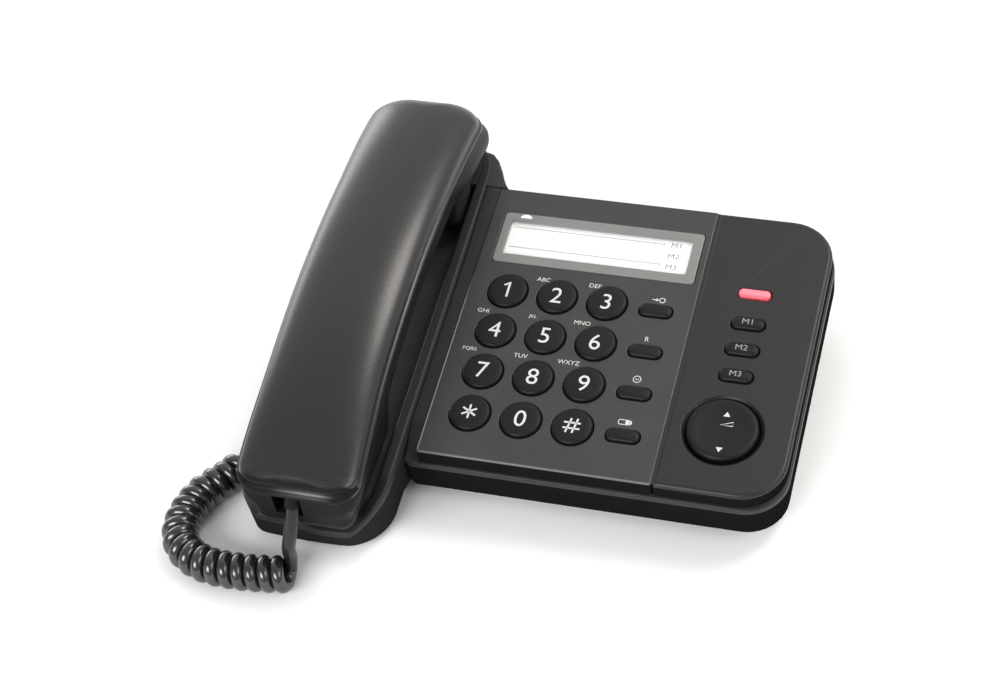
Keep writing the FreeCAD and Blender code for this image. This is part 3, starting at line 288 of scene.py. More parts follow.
# painted highlight: the left edge's bevel is bright towards the front only
en = GLINT.node_tree
eco = en.nodes.new("ShaderNodeTexCoord")
esep = en.nodes.new("ShaderNodeSeparateXYZ")
en.links.new(eco.outputs["Object"], esep.inputs["Vector"])
emr = en.nodes.new("ShaderNodeMapRange")
emr.interpolation_type = "SMOOTHSTEP"
emr.inputs["From Min"].default_value, emr.inputs["From Max"].default_value = 0.006, 0.028
emr.inputs["To Min"].default_value, emr.inputs["To Max"].default_value = 1.0, 0.10
en.links.new(esep.outputs["Y"], emr.inputs["Value"])
esc = en.nodes.new("ShaderNodeVectorMath")
esc.operation = "SCALE"
en.links.new(en.nodes["Color Ramp"].outputs["Color"], esc.inputs[0])
en.links.new(emr.outputs["Result"], esc.inputs["Scale"])
en.links.new(esc.outputs["Vector"], en.nodes["Principled BSDF"].inputs["Base Color"])
LIP = plastic("lip_plastic", (0.024, 0.024, 0.0235), 0.42, spec=0.25)
PLATE = plastic("plate_plastic", (0.029, 0.0285, 0.0275), 0.38, vary=0.10)
KEY = plastic("key_plastic", (0.0052, 0.0052, 0.0052), 0.46, grain=0.45, bump=0.45, spec=0.24)
SHELL = plastic("handset_plastic", (0.013, 0.0129, 0.0126), 0.31, vary=0.06, bump=0.16, spec=0.55)
SHELL.node_tree.nodes["Principled BSDF"].inputs["Sheen Weight"].default_value = 0.07
SHELL.node_tree.nodes["Principled BSDF"].inputs["Sheen Roughness"].default_value = 0.35
# painted shade: the specular fades where the surface looks to the front, so the upright front end is darker than the
# rest
hn = SHELL.node_tree
hco = hn.nodes.new("ShaderNodeTexCoord")
hsep = hn.nodes.new("ShaderNodeSeparateXYZ")
hn.links.new(hco.outputs["Normal"], hsep.inputs["Vector"])
hmr = hn.nodes.new("ShaderNodeMapRange")
hmr.interpolation_type = "SMOOTHSTEP"
hmr.inputs["From Min"].default_value, hmr.inputs["From Max"].default_value = -0.72, -0.48
hmr.inputs["To Min"].default_value, hmr.inputs["To Max"].default_value = 0.04, 0.55
hn.links.new(hsep.outputs["Y"], hmr.inputs["Value"])
hn.links.new(hmr.outputs["Result"], hn.nodes["Principled BSDF"].inputs["Specular IOR Level"])
GLEAM = plastic("handset_bead_painted_highlight", (0.011, 0.011, 0.011), 0.34, vary=0.06, bump=0.1, spec=0.6)
# painted highlight: the bead's specular rises towards the right of the mouth end
gn = GLEAM.node_tree
gco = gn.nodes.new("ShaderNodeTexCoord")
gsep = gn.nodes.new("ShaderNodeSeparateXYZ")
gn.links.new(gco.outputs["Object"], gsep.inputs["Vector"])
gleam = gn.nodes.new("ShaderNodeMath")
gleam.operation = "MULTIPLY"
for i, (lo, hi) in enumerate(((-0.0750, -0.0595), (-0.0500, -0.0570))):
    gmr = gn.nodes.new("ShaderNodeMapRange")
    gmr.interpolation_type = "SMOOTHSTEP"
    gmr.inputs["From Min"].default_value, gmr.inputs["From Max"].default_value = lo, hi
    gmr.inputs["To Min"].default_value, gmr.inputs["To Max"].default_value = 0.05, 0.75
    gn.links.new(gsep.outputs["X"], gmr.inputs["Value"])
    gn.links.new(gmr.outputs["Result"], gleam.inputs[i])
gn.links.new(gleam.outputs["Value"], gn.nodes["Principled BSDF"].inputs["Specular IOR Level"])
CHIN = plastic("handset_front_painted_light", (0.0115, 0.0115, 0.0115), 0.40, vary=0.06, spec=0.04)
# painted light: the base colour rises up to 4.4 times towards the ear end, where the ear cup's side is lit
cn = CHIN.node_tree
cco = cn.nodes.new("ShaderNodeTexCoord")
csep = cn.nodes.new("ShaderNodeSeparateXYZ")
cn.links.new(cco.outputs["Object"], csep.inputs["Vector"])
cmr = cn.nodes.new("ShaderNodeMapRange")
cmr.interpolation_type = "SMOOTHSTEP"
cmr.inputs["From Min"].default_value, cmr.inputs["From Max"].default_value = 0.038, 0.072
cmr.inputs["To Min"].default_value, cmr.inputs["To Max"].default_value = 1.0, 4.4
cn.links.new(csep.outputs["Y"], cmr.inputs["Value"])
csc = cn.nodes.new("ShaderNodeVectorMath")
csc.operation = "SCALE"
cn.links.new(cn.nodes["Color Ramp"].outputs["Color"], csc.inputs[0])
cn.links.new(cmr.outputs["Result"], csc.inputs["Scale"])
cn.links.new(csc.outputs["Vector"], cn.nodes["Principled BSDF"].inputs["Base Color"])
INNER = plastic("inner_plastic", (0.006, 0.006, 0.006), 0.5, spec=0.2)
CORD = plastic("cord_jacket", (0.015, 0.015, 0.015), 0.20, rough_vary=0.03, grain=0.6, bump=0.06, spec=0.95)
RUBBER = plastic("soft_rubber", (0.02, 0.02, 0.02), 0.75, grain=0.3, bump=0.4)
INK = plastic("legend_ink", (0.58, 0.58, 0.57), 0.55, vary=0.03, grain=0.2, bump=0.1)
INK_DIM = plastic("legend_ink_dim", (0.26, 0.26, 0.255), 0.55, vary=0.05, grain=0.2, bump=0.1)
PAPER = plastic("card_paper", (0.86, 0.855, 0.85), 0.8, vary=0.015, grain=0.12, bump=0.2)
PRINT = plastic("card_print", (0.09, 0.09, 0.09), 0.7, vary=0.08, grain=0.15, bump=0.1)
BEZEL = plastic("window_bezel", (0.185, 0.185, 0.18), 0.34, vary=0.05, grain=0.2, bump=0.1)
BOARD = plastic("board", (0.02, 0.09, 0.035), 0.5, vary=0.2)
JACK = plastic("jack_plastic", (0.02, 0.02, 0.02), 0.45)
PLUGM = plastic("plug_clear", (0.60, 0.62, 0.60), 0.18, vary=0.05)
# painted shade: the handset plug is darkened to the shade of the slot it sits in
PLUG_SHADE = plastic("plug_painted_shade", (0.008, 0.008, 0.008), 0.4, vary=0.05, spec=0.1)
# painted shade: a darker, less glossy copy of the cord jacket for the straight tail up to the handset
TAIL = plastic("cord_tail_painted_shade", (0.012, 0.012, 0.012), 0.26, rough_vary=0.03, grain=0.6, bump=0.06, spec=0.35)
STEEL = plastic("steel", (0.42, 0.42, 0.43), 0.35, vary=0.1)
STEEL.node_tree.nodes["Principled BSDF"].inputs["Metallic"].default_value = 1.0
CAPSULE = plastic("capsule_metal", (0.45, 0.44, 0.42), 0.3, vary=0.1)
CAPSULE.node_tree.nodes["Principled BSDF"].inputs["Metallic"].default_value = 1.0
IRON = plastic("weight_iron", (0.10, 0.095, 0.09), 0.55, vary=0.2)
IRON.node_tree.nodes["Principled BSDF"].inputs["Metallic"].default_value = 1.0


# painted light: the lens emits, brighter towards its middle, standing in for light in the translucent lens; the CAD led
# takes it too
def lens_material():
    m, nt, b = material("lens_red")
    grain_nodes(nt, b, (0.75, 0.10, 0.14), 0.04, 0.2, 0.04, 0.4, 0.1)
    co = nt.nodes.new("ShaderNodeTexCoord")
    sep = nt.nodes.new("ShaderNodeSeparateXYZ")
    nt.links.new(co.outputs["Generated"], sep.inputs["Vector"])
    glow = None
    for axis in ("X", "Y"):
        mr = nt.nodes.new("ShaderNodeMath")
        mr.operation = "PINGPONG"
        mr.inputs[1].default_value = 0.5
        nt.links.new(sep.outputs[axis], mr.inputs[0])
        st = nt.nodes.new("ShaderNodeMapRange")
        st.interpolation_type = "SMOOTHSTEP"
        st.inputs["From Min"].default_value = 0.0
        st.inputs["From Max"].default_value = 0.14 if axis == "X" else 0.34
        nt.links.new(mr.outputs[0], st.inputs["Value"])
        if glow is None:
            glow = st
        else:
            mu = nt.nodes.new("ShaderNodeMath")
            mu.operation = "MULTIPLY"
            nt.links.new(glow.outputs["Result"], mu.inputs[0])
            nt.links.new(st.outputs["Result"], mu.inputs[1])
            glow = mu
    ramp = nt.nodes.new("ShaderNodeValToRGB")
    ramp.color_ramp.elements[0].color = (0.20, 0.006, 0.012, 1)
    ramp.color_ramp.elements[1].color = (0.78, 0.34, 0.38, 1)
    nt.links.new(glow.outputs[0], ramp.inputs["Fac"])
    nt.links.new(ramp.outputs["Color"], b.inputs["Emission Color"])
    b.inputs["Emission Strength"].default_value = 0.55
    return m


LENS = lens_material()


def clear_material():
    m, nt, b = material("window_clear")
    grain_nodes(nt, b, (0.85, 0.86, 0.86), 0.02, 0.10, 0.03, 0.8, 0.04)
    b.inputs["Alpha"].default_value = 0.10
    return m


CLEAR = clear_material()

# ------------------------------------------------------------------ camera
R = ((0.95963209, 0.24771235, -0.13320978), (0.12609887, -0.80227712, -0.58348135), (-0.2514067, 0.54312983, -0.80112712))
turn = TILT.to_3x3()
right, down, ahead = (turn @ Vector(r) for r in R)
cam = bpy.data.cameras.new("cam")
cam.sensor_fit, cam.sensor_width, cam.lens = "HORIZONTAL", 36.0, 81.81
cam.clip_start, cam.clip_end = 0.05, 50.0
cam_ob = bpy.data.objects.new("cam", cam)
bpy.context.scene.collection.objects.link(cam_ob)
cam_ob.matrix_world = Matrix((
    (right.x, -down.x, -ahead.x, 0.186238), (right.y, -down.y, -ahead.y, -0.530792),
    (right.z, -down.z, -ahead.z, 0.616940), (0, 0, 0, 1)))
bpy.context.scene.camera = cam_ob

# ------------------------------------------------------------------ handset cord
COIL_R, WIRE_R = 4.3, 2.4
TAIL_BASE = [(-84.14, 34.2, 9.79), (-91.8, 34.1, 9.4), (-99.0, 29.7, 8.2), (-102.6, 22.2, 6.4), (-103.2, 13.4, 4.3),
             (-102.6, 1.5, 2.8), (-101.6, -12.0, 2.5), (-100.9, -26.0, 2.6), (-101.28, -37.85, 2.7)]
COIL = [(-101.3, -38.5, 6.8), (-102.6, -44.2, 6.8), (-106.4, -50.2, 6.8), (-113.0, -58.0, 6.8), (-115.8, -72.2, 6.8),
        (-111.2, -83.2, 6.8), (-100.2, -89.0, 6.8), (-85.6, -89.2, 6.8), (-76.0, -88.1, 6.8), (-69.5, -87.0, 6.8)]
TAIL_HAND = [(-66.2, -78.44, 33.63), (-66.4, -80.6, 29.3), (-67.0, -83.0, 24.8), (-68.0, -84.9, 20.4), (-68.9, -85.6, 17.2)]


def spline(points, steps=24):
    """Points along the smooth line that these points control."""
    cu = bpy.data.curves.new("route", "CURVE")
    cu.dimensions = "3D"
    sp = cu.splines.new("NURBS")
    sp.points.add(len(points) - 1)
    for p, q in zip(sp.points, points):
        p.co = (*q, 1.0)
    sp.order_u, sp.use_endpoint_u = 3, True
    cu.resolution_u = steps
    ob = bpy.data.objects.new("route", cu)
    bpy.context.scene.collection.objects.link(ob)
    bpy.context.view_layer.update()
    me = bpy.data.meshes.new_from_object(ob.evaluated_get(bpy.context.evaluated_depsgraph_get()))
    out = [v.co.copy() for v in me.vertices]
    bpy.data.objects.remove(ob)
    bpy.data.curves.remove(cu)
    bpy.data.meshes.remove(me)
    return out


def length(pts):
    return sum((b - a).length for a, b in zip(pts, pts[1:]))


class Track:
    """A line read off by distance from its start."""

    def __init__(self, pts):
        self.p = [pts[0]]
        for q in pts[1:]:
            if (q - self.p[-1]).length > 0.05:
                self.p.append(q)
        self.s = [0.0]
        for a, b in zip(self.p, self.p[1:]):
            self.s.append(self.s[-1] + (b - a).length)
        self.total = self.s[-1]

    def at(self, s):
        s = min(max(s, 0.0), self.total)
        i = max(0, min(len(self.s) - 2, next((k for k in range(1, len(self.s)) if self.s[k] >= s), len(self.s) - 1) - 1))
        u = (s - self.s[i]) / (self.s[i + 1] - self.s[i])
        return self.p[i].lerp(self.p[i + 1], u)

    def along(self, s, d=0.8):
        return (self.at(s + d) - self.at(s - d)).normalized()


axis = Track(spline(COIL, 48))
PITCH = 4.93
PER_TURN = 24
RUN_IN = 11.0
# winding angle by distance: it starts slowly under the coil and ends at its
# far side, where the wire points up to the handset
step = 0.05
dist, angle, wound = [0.0], [0.0], 0.0
while dist[-1] < axis.total - 1e-6:
    s = dist[-1]
    wound += step / PITCH * 2 * math.pi * smooth(s / RUN_IN + 0.08)
    dist.append(s + step)
    angle.append(wound)
turns = round((wound + math.pi * 0.5) / (2 * math.pi) - 0.25)
k = (turns * 2 * math.pi + math.pi * 0.5) / wound
helix = []
want, i = 0.0, 0
while i < len(dist):
    if angle[i] * k >= want - 1e-9:
        s = dist[i]
        c, t = axis.at(s), axis.along(s)
        side = Vector((0, 0, 1)).cross(t).normalized()
        a = angle[i] * k - math.pi / 2
        helix.append(c + (side * math.cos(a) + Vector((0, 0, 1)) * math.sin(a)) * COIL_R)
        want += 2 * math.pi / PER_TURN
    i += 1
first = Vector(COIL[1]) - Vector(COIL[0])
lead = helix[0] - first.normalized() * 5.0
tail_a = spline(TAIL_BASE[:-1] + [tuple(lead), tuple(helix[0])], 12)
top = helix[-1]
up = (helix[-1] - helix[-2]).normalized()
tail_b = spline([tuple(top), tuple(top + up * 4.0), (-69.3, -83.3, 15.6), (-68.1, -83.7, 21.0)] + TAIL_HAND[1::-1], 12)
wire = tail_a + helix + tail_b
line = Track(wire)
print("cord: coil axis %.1f mm, %d turns, wire %.1f mm" % (axis.total, turns, line.total))


def sweep(points, radius, sides=14):
    """A round tube along points, with rings carried along so that they don't twist."""
    rings, nrm = [], None
    for i, p in enumerate(points):
        t = (points[min(i + 1, len(points) - 1)] - points[max(i - 1, 0)]).normalized()
        if nrm is None:
            nrm = t.orthogonal().normalized()
        nrm = (nrm - t * nrm.dot(t)).normalized()
        bi = t.cross(nrm)
        rings.append([p + (nrm * math.cos(2 * math.pi * j / sides) + bi * math.sin(2 * math.pi * j / sides)) * radius
                      for j in range(sides)])
    return rings


sh = Shape()
rings = sweep(line.p, WIRE_R)
# the tail up to the handset takes the cord jacket with painted shade
sh.loft(rings, [0] * (len(rings) - len(tail_b) - 2) + [1] * (len(tail_b) + 1), cap0=True, cap1=True)
cord = make("handset_cord", sh, GROUND, [CORD, TAIL], None, ("cord_coil", "cord_tail_base", "cord_tail_handset"))
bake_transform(cord)

# ------------------------------------------------------------------ base: lower case
sh = Shape()
slab = lambda o: rrect(-39.9, 94.2, -44.3, 76.3, (3.0, 15.0, 17.0, 3.0), o)
rings = [at(slab(2.6), Z_BOTTOM), at(slab(1.5), Z_BOTTOM + 0.4), at(slab(0.6), Z_BOTTOM + 1.6), at(slab(0.25), Z_BOTTOM + 4.0)]
rings += [at(slab(0.0), -12.0)] + [at(slab(i), Z_DECK - d) for i, d in reversed(quarter(0.7, 5))] + [at(slab(3.0), Z_DECK)]
# the lower wall takes the side plastic with painted shade
sh.loft(rings, [0, 0, 0, 0] + [2] * 6, cap0=True, cap1=True)
# opening in the rear wall, where the line jack's face stands flush
k = 3 * 44 + 32
a, b, c, d = (sh.v[i] for i in sh.f[k])
on_wall = lambda x, z: (x, a[1] + (d[1] - a[1]) * (z - a[2]) / (d[2] - a[2]), z)
del sh.f[k], sh.m[k]
sh.add([a, on_wall(36.0, a[2]), on_wall(36.0, d[2]), d], [(0, 1, 2, 3)])
sh.add([on_wall(24.0, a[2]), b, c, on_wall(24.0, d[2])], [(0, 1, 2, 3)])
sh.add([on_wall(36.0, -12.35), on_wall(24.0, -12.35), on_wall(24.0, d[2]), on_wall(36.0, d[2])], [(0, 1, 2, 3)])


# step between the cradle and the dial plate
def step_z(y):
    return -4.4 + 1.35 * smooth((y - 45.0) / 28.0) - 4.9 * smooth((-29.0 - y) / 14.0)


ys = [-43.9 + 120.1 * i / 60 for i in range(61)]
rings = [[(x, y, step_z(y) - d) for y in ys] for x, d in ((-39.38, 1.6), (-39.38, 0.2), (-39.18, 0.0), (-34.0, 0.0))]
sh.loft([list(reversed(r)) for r in rings], 1, closed=False)
sh.add([(-39.38, -43.9, -9.7), (-34.0, -43.9, -9.7), (-34.0, -43.9, step_z(-43.9)), (-39.38, -43.9, step_z(-43.9))], [(0, 1, 2, 3)], 1)
make("case_tray", sh, PANEL, [SIDE_SHADED, CASE, LIP], "base", ("lower_case",))

# ------------------------------------------------------------------ base: right-hand panel
MEM_X, MEM_Y, MEM_DY = 69.2, 16.6, 11.3
ROCK = (69.1, -17.5)
LED = (69.1, 41.3)
sh = Shape()
block = lambda o: rrect(49.7, 93.5, -43.1, 76.2, (0.8, 15.9, 16.4, 0.8), o)
holes = [lambda o, y=MEM_Y + MEM_DY * i: rrect(MEM_X - 6.3, MEM_X + 6.3, y - 2.75, y + 2.75, 2.65, o) for i in (-1, 0, 1)]
holes += [lambda o: rrect(LED[0] - 6.15, LED[0] + 6.15, LED[1] - 2.4, LED[1] + 2.4, 1.9, o),
          lambda o: circle(ROCK[0], ROCK[1], 14.2 - o)]
plate(sh, block, holes, Z_PANEL, Z_DECK, 1.5, 0.35, Z_PANEL - 5.1)
# the lower walls take the side plastic with painted shade
for i, f in enumerate(sh.f):
    if min(sh.v[j][2] for j in f) < Z_DECK + 0.1:
        sh.m[i] = 1
# dished seat of the rocker, floor of the joint beside the dial plate
sh.lathe([(14.25, -3.4), (13.1, -4.3), (12.9, -4.8), (12.85, -8.2)], ROCK[0], ROCK[1], 96)
sh.fill([rrect(49.0, 50.3, -42.6, 75.7, 0.2)], Z_PANEL - 0.3)
make("control_panel", sh, PANEL, [DECK, SIDE_SHADED], "base", ("upper_case",))

# ------------------------------------------------------------------ base: dial plate
KEY_DX, KEY_DY, KEY_TOP = 18.5, 18.0, -1.7
COLS = [-0.85 + KEY_DX * i for i in (-1, 0, 1)]
ROWS = [2.25 + KEY_DY * i for i in (1.5, 0.5, -0.5, -1.5)]
PILL_X = 35.7
PILL_Y = [y - 0.7 for y in ROWS]
MEMO = (8.8, 53.8, 75.4, 23.0)
sh = Shape()
face = lambda o: rrect(-34.2, 49.3, -43.1, 76.2, 1.0, o)
holes = [lambda o, x=x, y=y: circle(x, y, 7.6 - o) for y in ROWS for x in COLS]
holes += [lambda o, y=y: rrect(PILL_X - 6.35, PILL_X + 6.35, y - 2.9, y + 2.9, 2.75, o) for y in PILL_Y]
holes += [lambda o: rrect(MEMO[0] - MEMO[2] / 2 - 0.2, MEMO[0] + MEMO[2] / 2 + 0.2, MEMO[1] - MEMO[3] / 2 - 0.2,
                          MEMO[1] + MEMO[3] / 2 + 0.2, 1.7, o)]
plate(sh, face, holes, Z_PANEL, Z_DECK, 0.6, 0.3, Z_PANEL - 5.1)
# the lower walls take the side plastic with painted shade; painted highlight: the bevels along the left and front edges
# take lighter plastics
for i, f in enumerate(sh.f):
    q = [sh.v[j] for j in f]
    if min(c[2] for c in q) < Z_DECK + 0.1:
        sh.m[i] = 2
    if Z_PANEL - 0.62 <= min(c[2] for c in q) < Z_PANEL - 1e-4 and (max(c[0] for c in q) < -33.5 or max(c[1] for c in q) < -42.3):
        sh.m[i] = 3 if max(c[0] for c in q) < -33.5 and max(c[1] for c in q) > -40.0 else 1
make("dial_plate", sh, PANEL, [PLATE, EDGE_HIGHLIGHT, SIDE_SHADED, GLINT], "base", ("keypad_faceplate",))
# floor under the key wells
sh = Shape()
sh.fill([rrect(-33.6, 48.8, -42.5, 74.5, 1.0)], Z_PANEL - 5.0)
sh.fill([rrect(50.4, 92.0, -42.4, 74.4, (1, 15, 15, 1))], Z_PANEL - 5.0)
make("key_wells", sh, PANEL, [INNER], "base")

# ------------------------------------------------------------------ keys
KEY_NAMES = [["key_1", "key_2", "key_3"], ["key_4", "key_5", "key_6"], ["key_7", "key_8", "key_9"],
             ["key_star", "key_0", "key_hash"]]
MARKS = [["1", "2", "3"], ["4", "5", "6"], ["7", "8", "9"], ["*", "0", "#"]]
for row, y in enumerate(ROWS):
    for col, x in enumerate(COLS):
        sh = Shape()
        prof = [(7.3, Z_PANEL - 3.0), (7.3, KEY_TOP - 1.3)]
        prof += [(7.3 - i, KEY_TOP - 0.12 - d) for i, d in reversed(quarter(1.1, 8))]
        prof += [(5.4, KEY_TOP - 0.03), (4.6, KEY_TOP), (0.0, KEY_TOP)]
        sh.lathe(prof, x, y, 72)
        mark = MARKS[row][col]
        if mark == "*":
            for a in (90, 30, 150):
                c, s = math.cos(math.radians(a)), math.sin(math.radians(a))
                put(sh, stroke([(-2.9 * c, -2.9 * s), (2.9 * c, 2.9 * s)], 0.72), x, y - 0.1, KEY_TOP + 0.03, 1)
        elif mark == "#":
            for d in (-1.15, 1.15):
                put(sh, stroke([(d - 0.55, -3.0), (d + 0.55, 3.0)], 0.7), x, y - 0.1, KEY_TOP + 0.03, 1)
                put(sh, stroke([(-3.0, d), (3.0, d)], 0.7), x, y - 0.1, KEY_TOP + 0.03, 1)
        elif mark == "1":
            put(sh, stroke([(0.45, -3.3), (0.45, 3.3)], 0.82), x, y - 0.1, KEY_TOP + 0.03, 1)
            put(sh, stroke([(0.6, 2.95), (-1.45, 1.75)], 0.72), x, y - 0.1, KEY_TOP + 0.035, 1)
        else:
            put(sh, text(mark, 6.6), x, y - 0.1, KEY_TOP + 0.03, 1)
        node = KEY_NAMES[row][col]
        make(node + "_cap", sh, PANEL, [KEY, INK], node, (node,))


def pill(shape, cx, cy, w, d, z, foot, round_r, mat=0):
    out = lambda o: rrect(cx - w / 2, cx + w / 2, cy - d / 2, cy + d / 2, d / 2 - 0.1, o)
    rings = [at(out(0), foot)] + [at(out(i), z - 0.1 - e) for i, e in reversed(quarter(round_r))]
    rings += [at(out(round_r + 0.5), z)]
    shape.loft(rings, mat, cap1=True)


for name, y in zip(("key_store", "key_recall", "key_redial", "key_mute"), PILL_Y):
    sh = Shape()
    pill(sh, PILL_X, y, 12.1, 5.2, -1.9, Z_PANEL - 3.0, 1.0)
    make(name + "_cap", sh, PANEL, [KEY], name, (name,))
for i, name in zip((1, 0, -1), ("key_m1", "key_m2", "key_m3")):
    sh = Shape()
    y = MEM_Y + MEM_DY * i
    pill(sh, MEM_X, y, 12.0, 4.9, -2.0, Z_PANEL - 3.6, 1.0)
    put(sh, text("M" + name[-1], 2.3, 0.0, 1.1), MEM_X - 0.2, y + 0.5, -1.96, 1)
    make(name + "_cap", sh, PANEL, [KEY, INK_DIM], name, (name,))

# rocker
sh = Shape()
prof = [(12.5, Z_PANEL - 3.6), (12.5, -3.2)] + [(12.5 - i, -1.9 - d) for i, d in reversed(quarter(1.3, 8))]
prof += [(10.6, -1.85), (9.0, -2.05), (6.0, -2.2), (0.0, -2.25)]
sh.lathe(prof, ROCK[0], ROCK[1], 96)
put(sh, ([(-1.2, -0.9), (1.2, -0.9), (0, 1.1)], [(0, 1, 2)]), ROCK[0] + 0.4, ROCK[1] + 6.0, -2.1, 1)
put(sh, ([(-1.2, 0.9), (1.2, 0.9), (0, -1.1)], [(0, 2, 1)]), ROCK[0] + 0.4, ROCK[1] - 8.6, -1.98, 1)
put(sh, stroke([(-2.2, -0.8), (2.2, -0.8), (2.2, 0.9)], 0.35, True), ROCK[0] + 1.0, ROCK[1] + 2.3, -2.18, 1)
make("volume_rocker", sh, PANEL, [KEY, INK], "nav_rocker", ("nav_rocker",))

# lens
sh = Shape()
out = lambda o: rrect(LED[0] - 5.8, LED[0] + 5.8, LED[1] - 1.9, LED[1] + 1.9, 1.7, o)
sh.loft([at(out(0), Z_PANEL - 3.0)] + [at(out(i), -2.5 - d) for i, d in reversed(quarter(0.7, 5))] + [at(out(1.3), -2.4)], cap1=True)
make("ring_lens", sh, PANEL, [LENS], "base", ("led_lens",))

# ------------------------------------------------------------------ memo window and card
mx0, mx1 = MEMO[0] - MEMO[2] / 2, MEMO[0] + MEMO[2] / 2
my0, my1 = MEMO[1] - MEMO[3] / 2, MEMO[1] + MEMO[3] / 2
card = (8.4 - 34.3, 8.4 + 34.3, 54.05 - 7.75, 54.05 + 7.75)
sh = Shape()
outer = lambda o: rrect(mx0, mx1, my0, my1, 1.5, o)
inner = lambda o: rrect(card[0] - 0.1, card[1] + 0.1, card[2] - 0.1, card[3] + 0.1, 0.8, o)
plate(sh, outer, [inner], -2.9, Z_PANEL - 2.6, 0.4, 0.25, -4.6)
put(sh, ([(2.2 * math.cos(math.pi * i / 12), 1.7 * math.sin(math.pi * i / 12) - 0.8) for i in range(13)], [tuple(range(13))]), -20.8, 63.9, -2.87, 1)
make("window_frame", sh, PANEL, [BEZEL, PAPER], "base", ("memo_window",))
sh = Shape()
sh.fill([rrect(card[0] - 0.4, card[1] + 0.4, card[2] - 0.4, card[3] + 0.4, 1.0)], -4.62)
for k in (0, 1):
    y = 59.9 - 9.2 * k
    x = card[0] + 1.6
    while x < card[1] - 9.6:
        put(sh, stroke([(-0.3, 0), (0.3, 0)], 0.55), x, y, -4.59, 1)
        x += 1.15
for k, y in enumerate((59.9, 54.9, 49.9)):
    put(sh, text("M%d" % (k + 1), 2.2, 0.0, 1.1), 36.6, y, -4.59, 1)
make("memo_paper", sh, PANEL, [PAPER, PRINT], "base", ("memo_card",))
sh = Shape()
pane = lambda o: rrect(card[0] + 0.02, card[1] - 0.02, card[2] + 0.02, card[3] - 0.02, 0.7, o)
sh.loft([at(pane(0), -4.2), at(pane(0), -3.4), at(pane(0.25), -3.2)], cap0=True, cap1=True)
make("window_pane", sh, PANEL, [CLEAR], "base")

# ------------------------------------------------------------------ legends on the dial plate
sh = Shape()
ZL = Z_PANEL + 0.025
for word, x, y in (("ABC", -7.5, 36.4), ("DEF", 11.8, 36.4), ("GHI", -26.0, 19.6), ("JKL", -7.5, 19.5), ("MNO", 10.9, 19.5),
                   ("PQRS", -26.6, 2.3), ("TUV", -7.6, 2.1), ("WXYZ", 10.0, 1.9)):
    put(sh, text(word, 1.75, 0.0, 1.05), x, y, ZL)
put(sh, stroke([(-2.3, 0), (-0.6, 0)], 0.35), 35.8, 33.6, ZL)
put(sh, ([(-1.0, -0.75), (0.1, 0), (-1.0, 0.75)], [(0, 1, 2)]), 35.8, 33.6, ZL)
put(sh, stroke([(1.3 + 1.0 * math.cos(a * math.pi / 10), 1.0 * math.sin(a * math.pi / 10)) for a in range(20)], 0.32, True), 35.8, 33.6, ZL)
put(sh, text("R", 1.9, 0.0), 35.3, 16.1, ZL)
put(sh, stroke([(1.35 * math.cos(a * math.pi / 12), 1.35 * math.sin(a * math.pi / 12)) for a in range(24)], 0.3, True), 35.5, -1.35, ZL)
put(sh, stroke([(-0.6, 0.1), (0.0, -0.5), (0.6, 0.1)], 0.3), 35.5, -1.2, ZL)
put(sh, stroke(rrect(-2.3, 1.6, -0.95, 0.95, 0.5, 0, 4), 0.3, True), 35.3, -19.7, ZL)
put(sh, (rrect(0.1, 2.4, -0.95, 0.95, 0.8, 0, 5), [tuple(range(24))]), 35.3, -19.7, ZL)
make("panel_legends", sh, PANEL, [INK], "base")

# ------------------------------------------------------------------ cradle
CRADLE = (-91.6, -39.5, -71.4, 98.0)
MIDDLE = -65.55


def cradle_ring(left, right, front, rear, r_left=6.0, r_right=16.0, r_rear=16.0):
    """Outline set in by four amounts, from the front middle round by the right side."""
    x0, x1, y0, y1 = CRADLE[0] + left, CRADLE[1] - right, CRADLE[2] + front, CRADLE[3] - rear

    def half(x, sign, rf, rr):
        end = abs(x - MIDDLE)
        h = [((end - rf) * i / 6, y0) for i in range(6)]
        h += [(end - rf + rf * math.sin(math.pi / 2 * i / 14), y0 + rf - rf * math.cos(math.pi / 2 * i / 14)) for i in range(14)]
        h += [(end, y0 + rf + (y1 - y0 - rf - rr) * i / 48) for i in range(48)]
        h += [(end - rr + rr * math.cos(math.pi / 2 * i / 14), y1 - rr + rr * math.sin(math.pi / 2 * i / 14)) for i in range(14)]
        h += [((end - rr) * (1 - i / 6), y1) for i in range(7)]
        return [(MIDDLE + sign * a, b) for a, b in h]

    return half(x1, 1, r_right, r_rear) + list(reversed(half(x0, -1, r_left, r_rear)[1:-1]))


def rim_height(x, y):
    """The rim is level along the sides and falls round the front end to a low lip."""
    left = smooth((-56.0 - x) / 19.0)
    start, r = -53.4 - 7.0 * left, 18.0 - 7.2 * left
    if y >= start:
        return -2.5
    return max(-2.5 - r + math.sqrt(max(r * r - (y - start) ** 2, 0.0)), -17.3)


HEIGHT = [rim_height(x, y) for x, y in cradle_ring(0, 0, 0, 0)]
FLOOR = [(-71.4, -17.6), (-68.5, -17.4), (-60.5, -9.85), (-36.0, -9.85), (-33.0, -15.0), (43.0, -15.0), (46.0, -13.65), (98.0, -13.65)]


def floor_z(y):
    for (a, za), (b, zb) in zip(FLOOR, FLOOR[1:]):
        if y <= b:
            return za + (zb - za) * (y - a) / (b - a)
    return FLOOR[-1][1]


def inset(o):
    """The rim, o inwards: narrower on the right, where it meets the slab."""
    return cradle_ring(o, o * 0.79, o, o * 0.7, 6.0 + 0.5 * o, 16.0 - 0.7 * o, 16.0 - 0.8 * o)


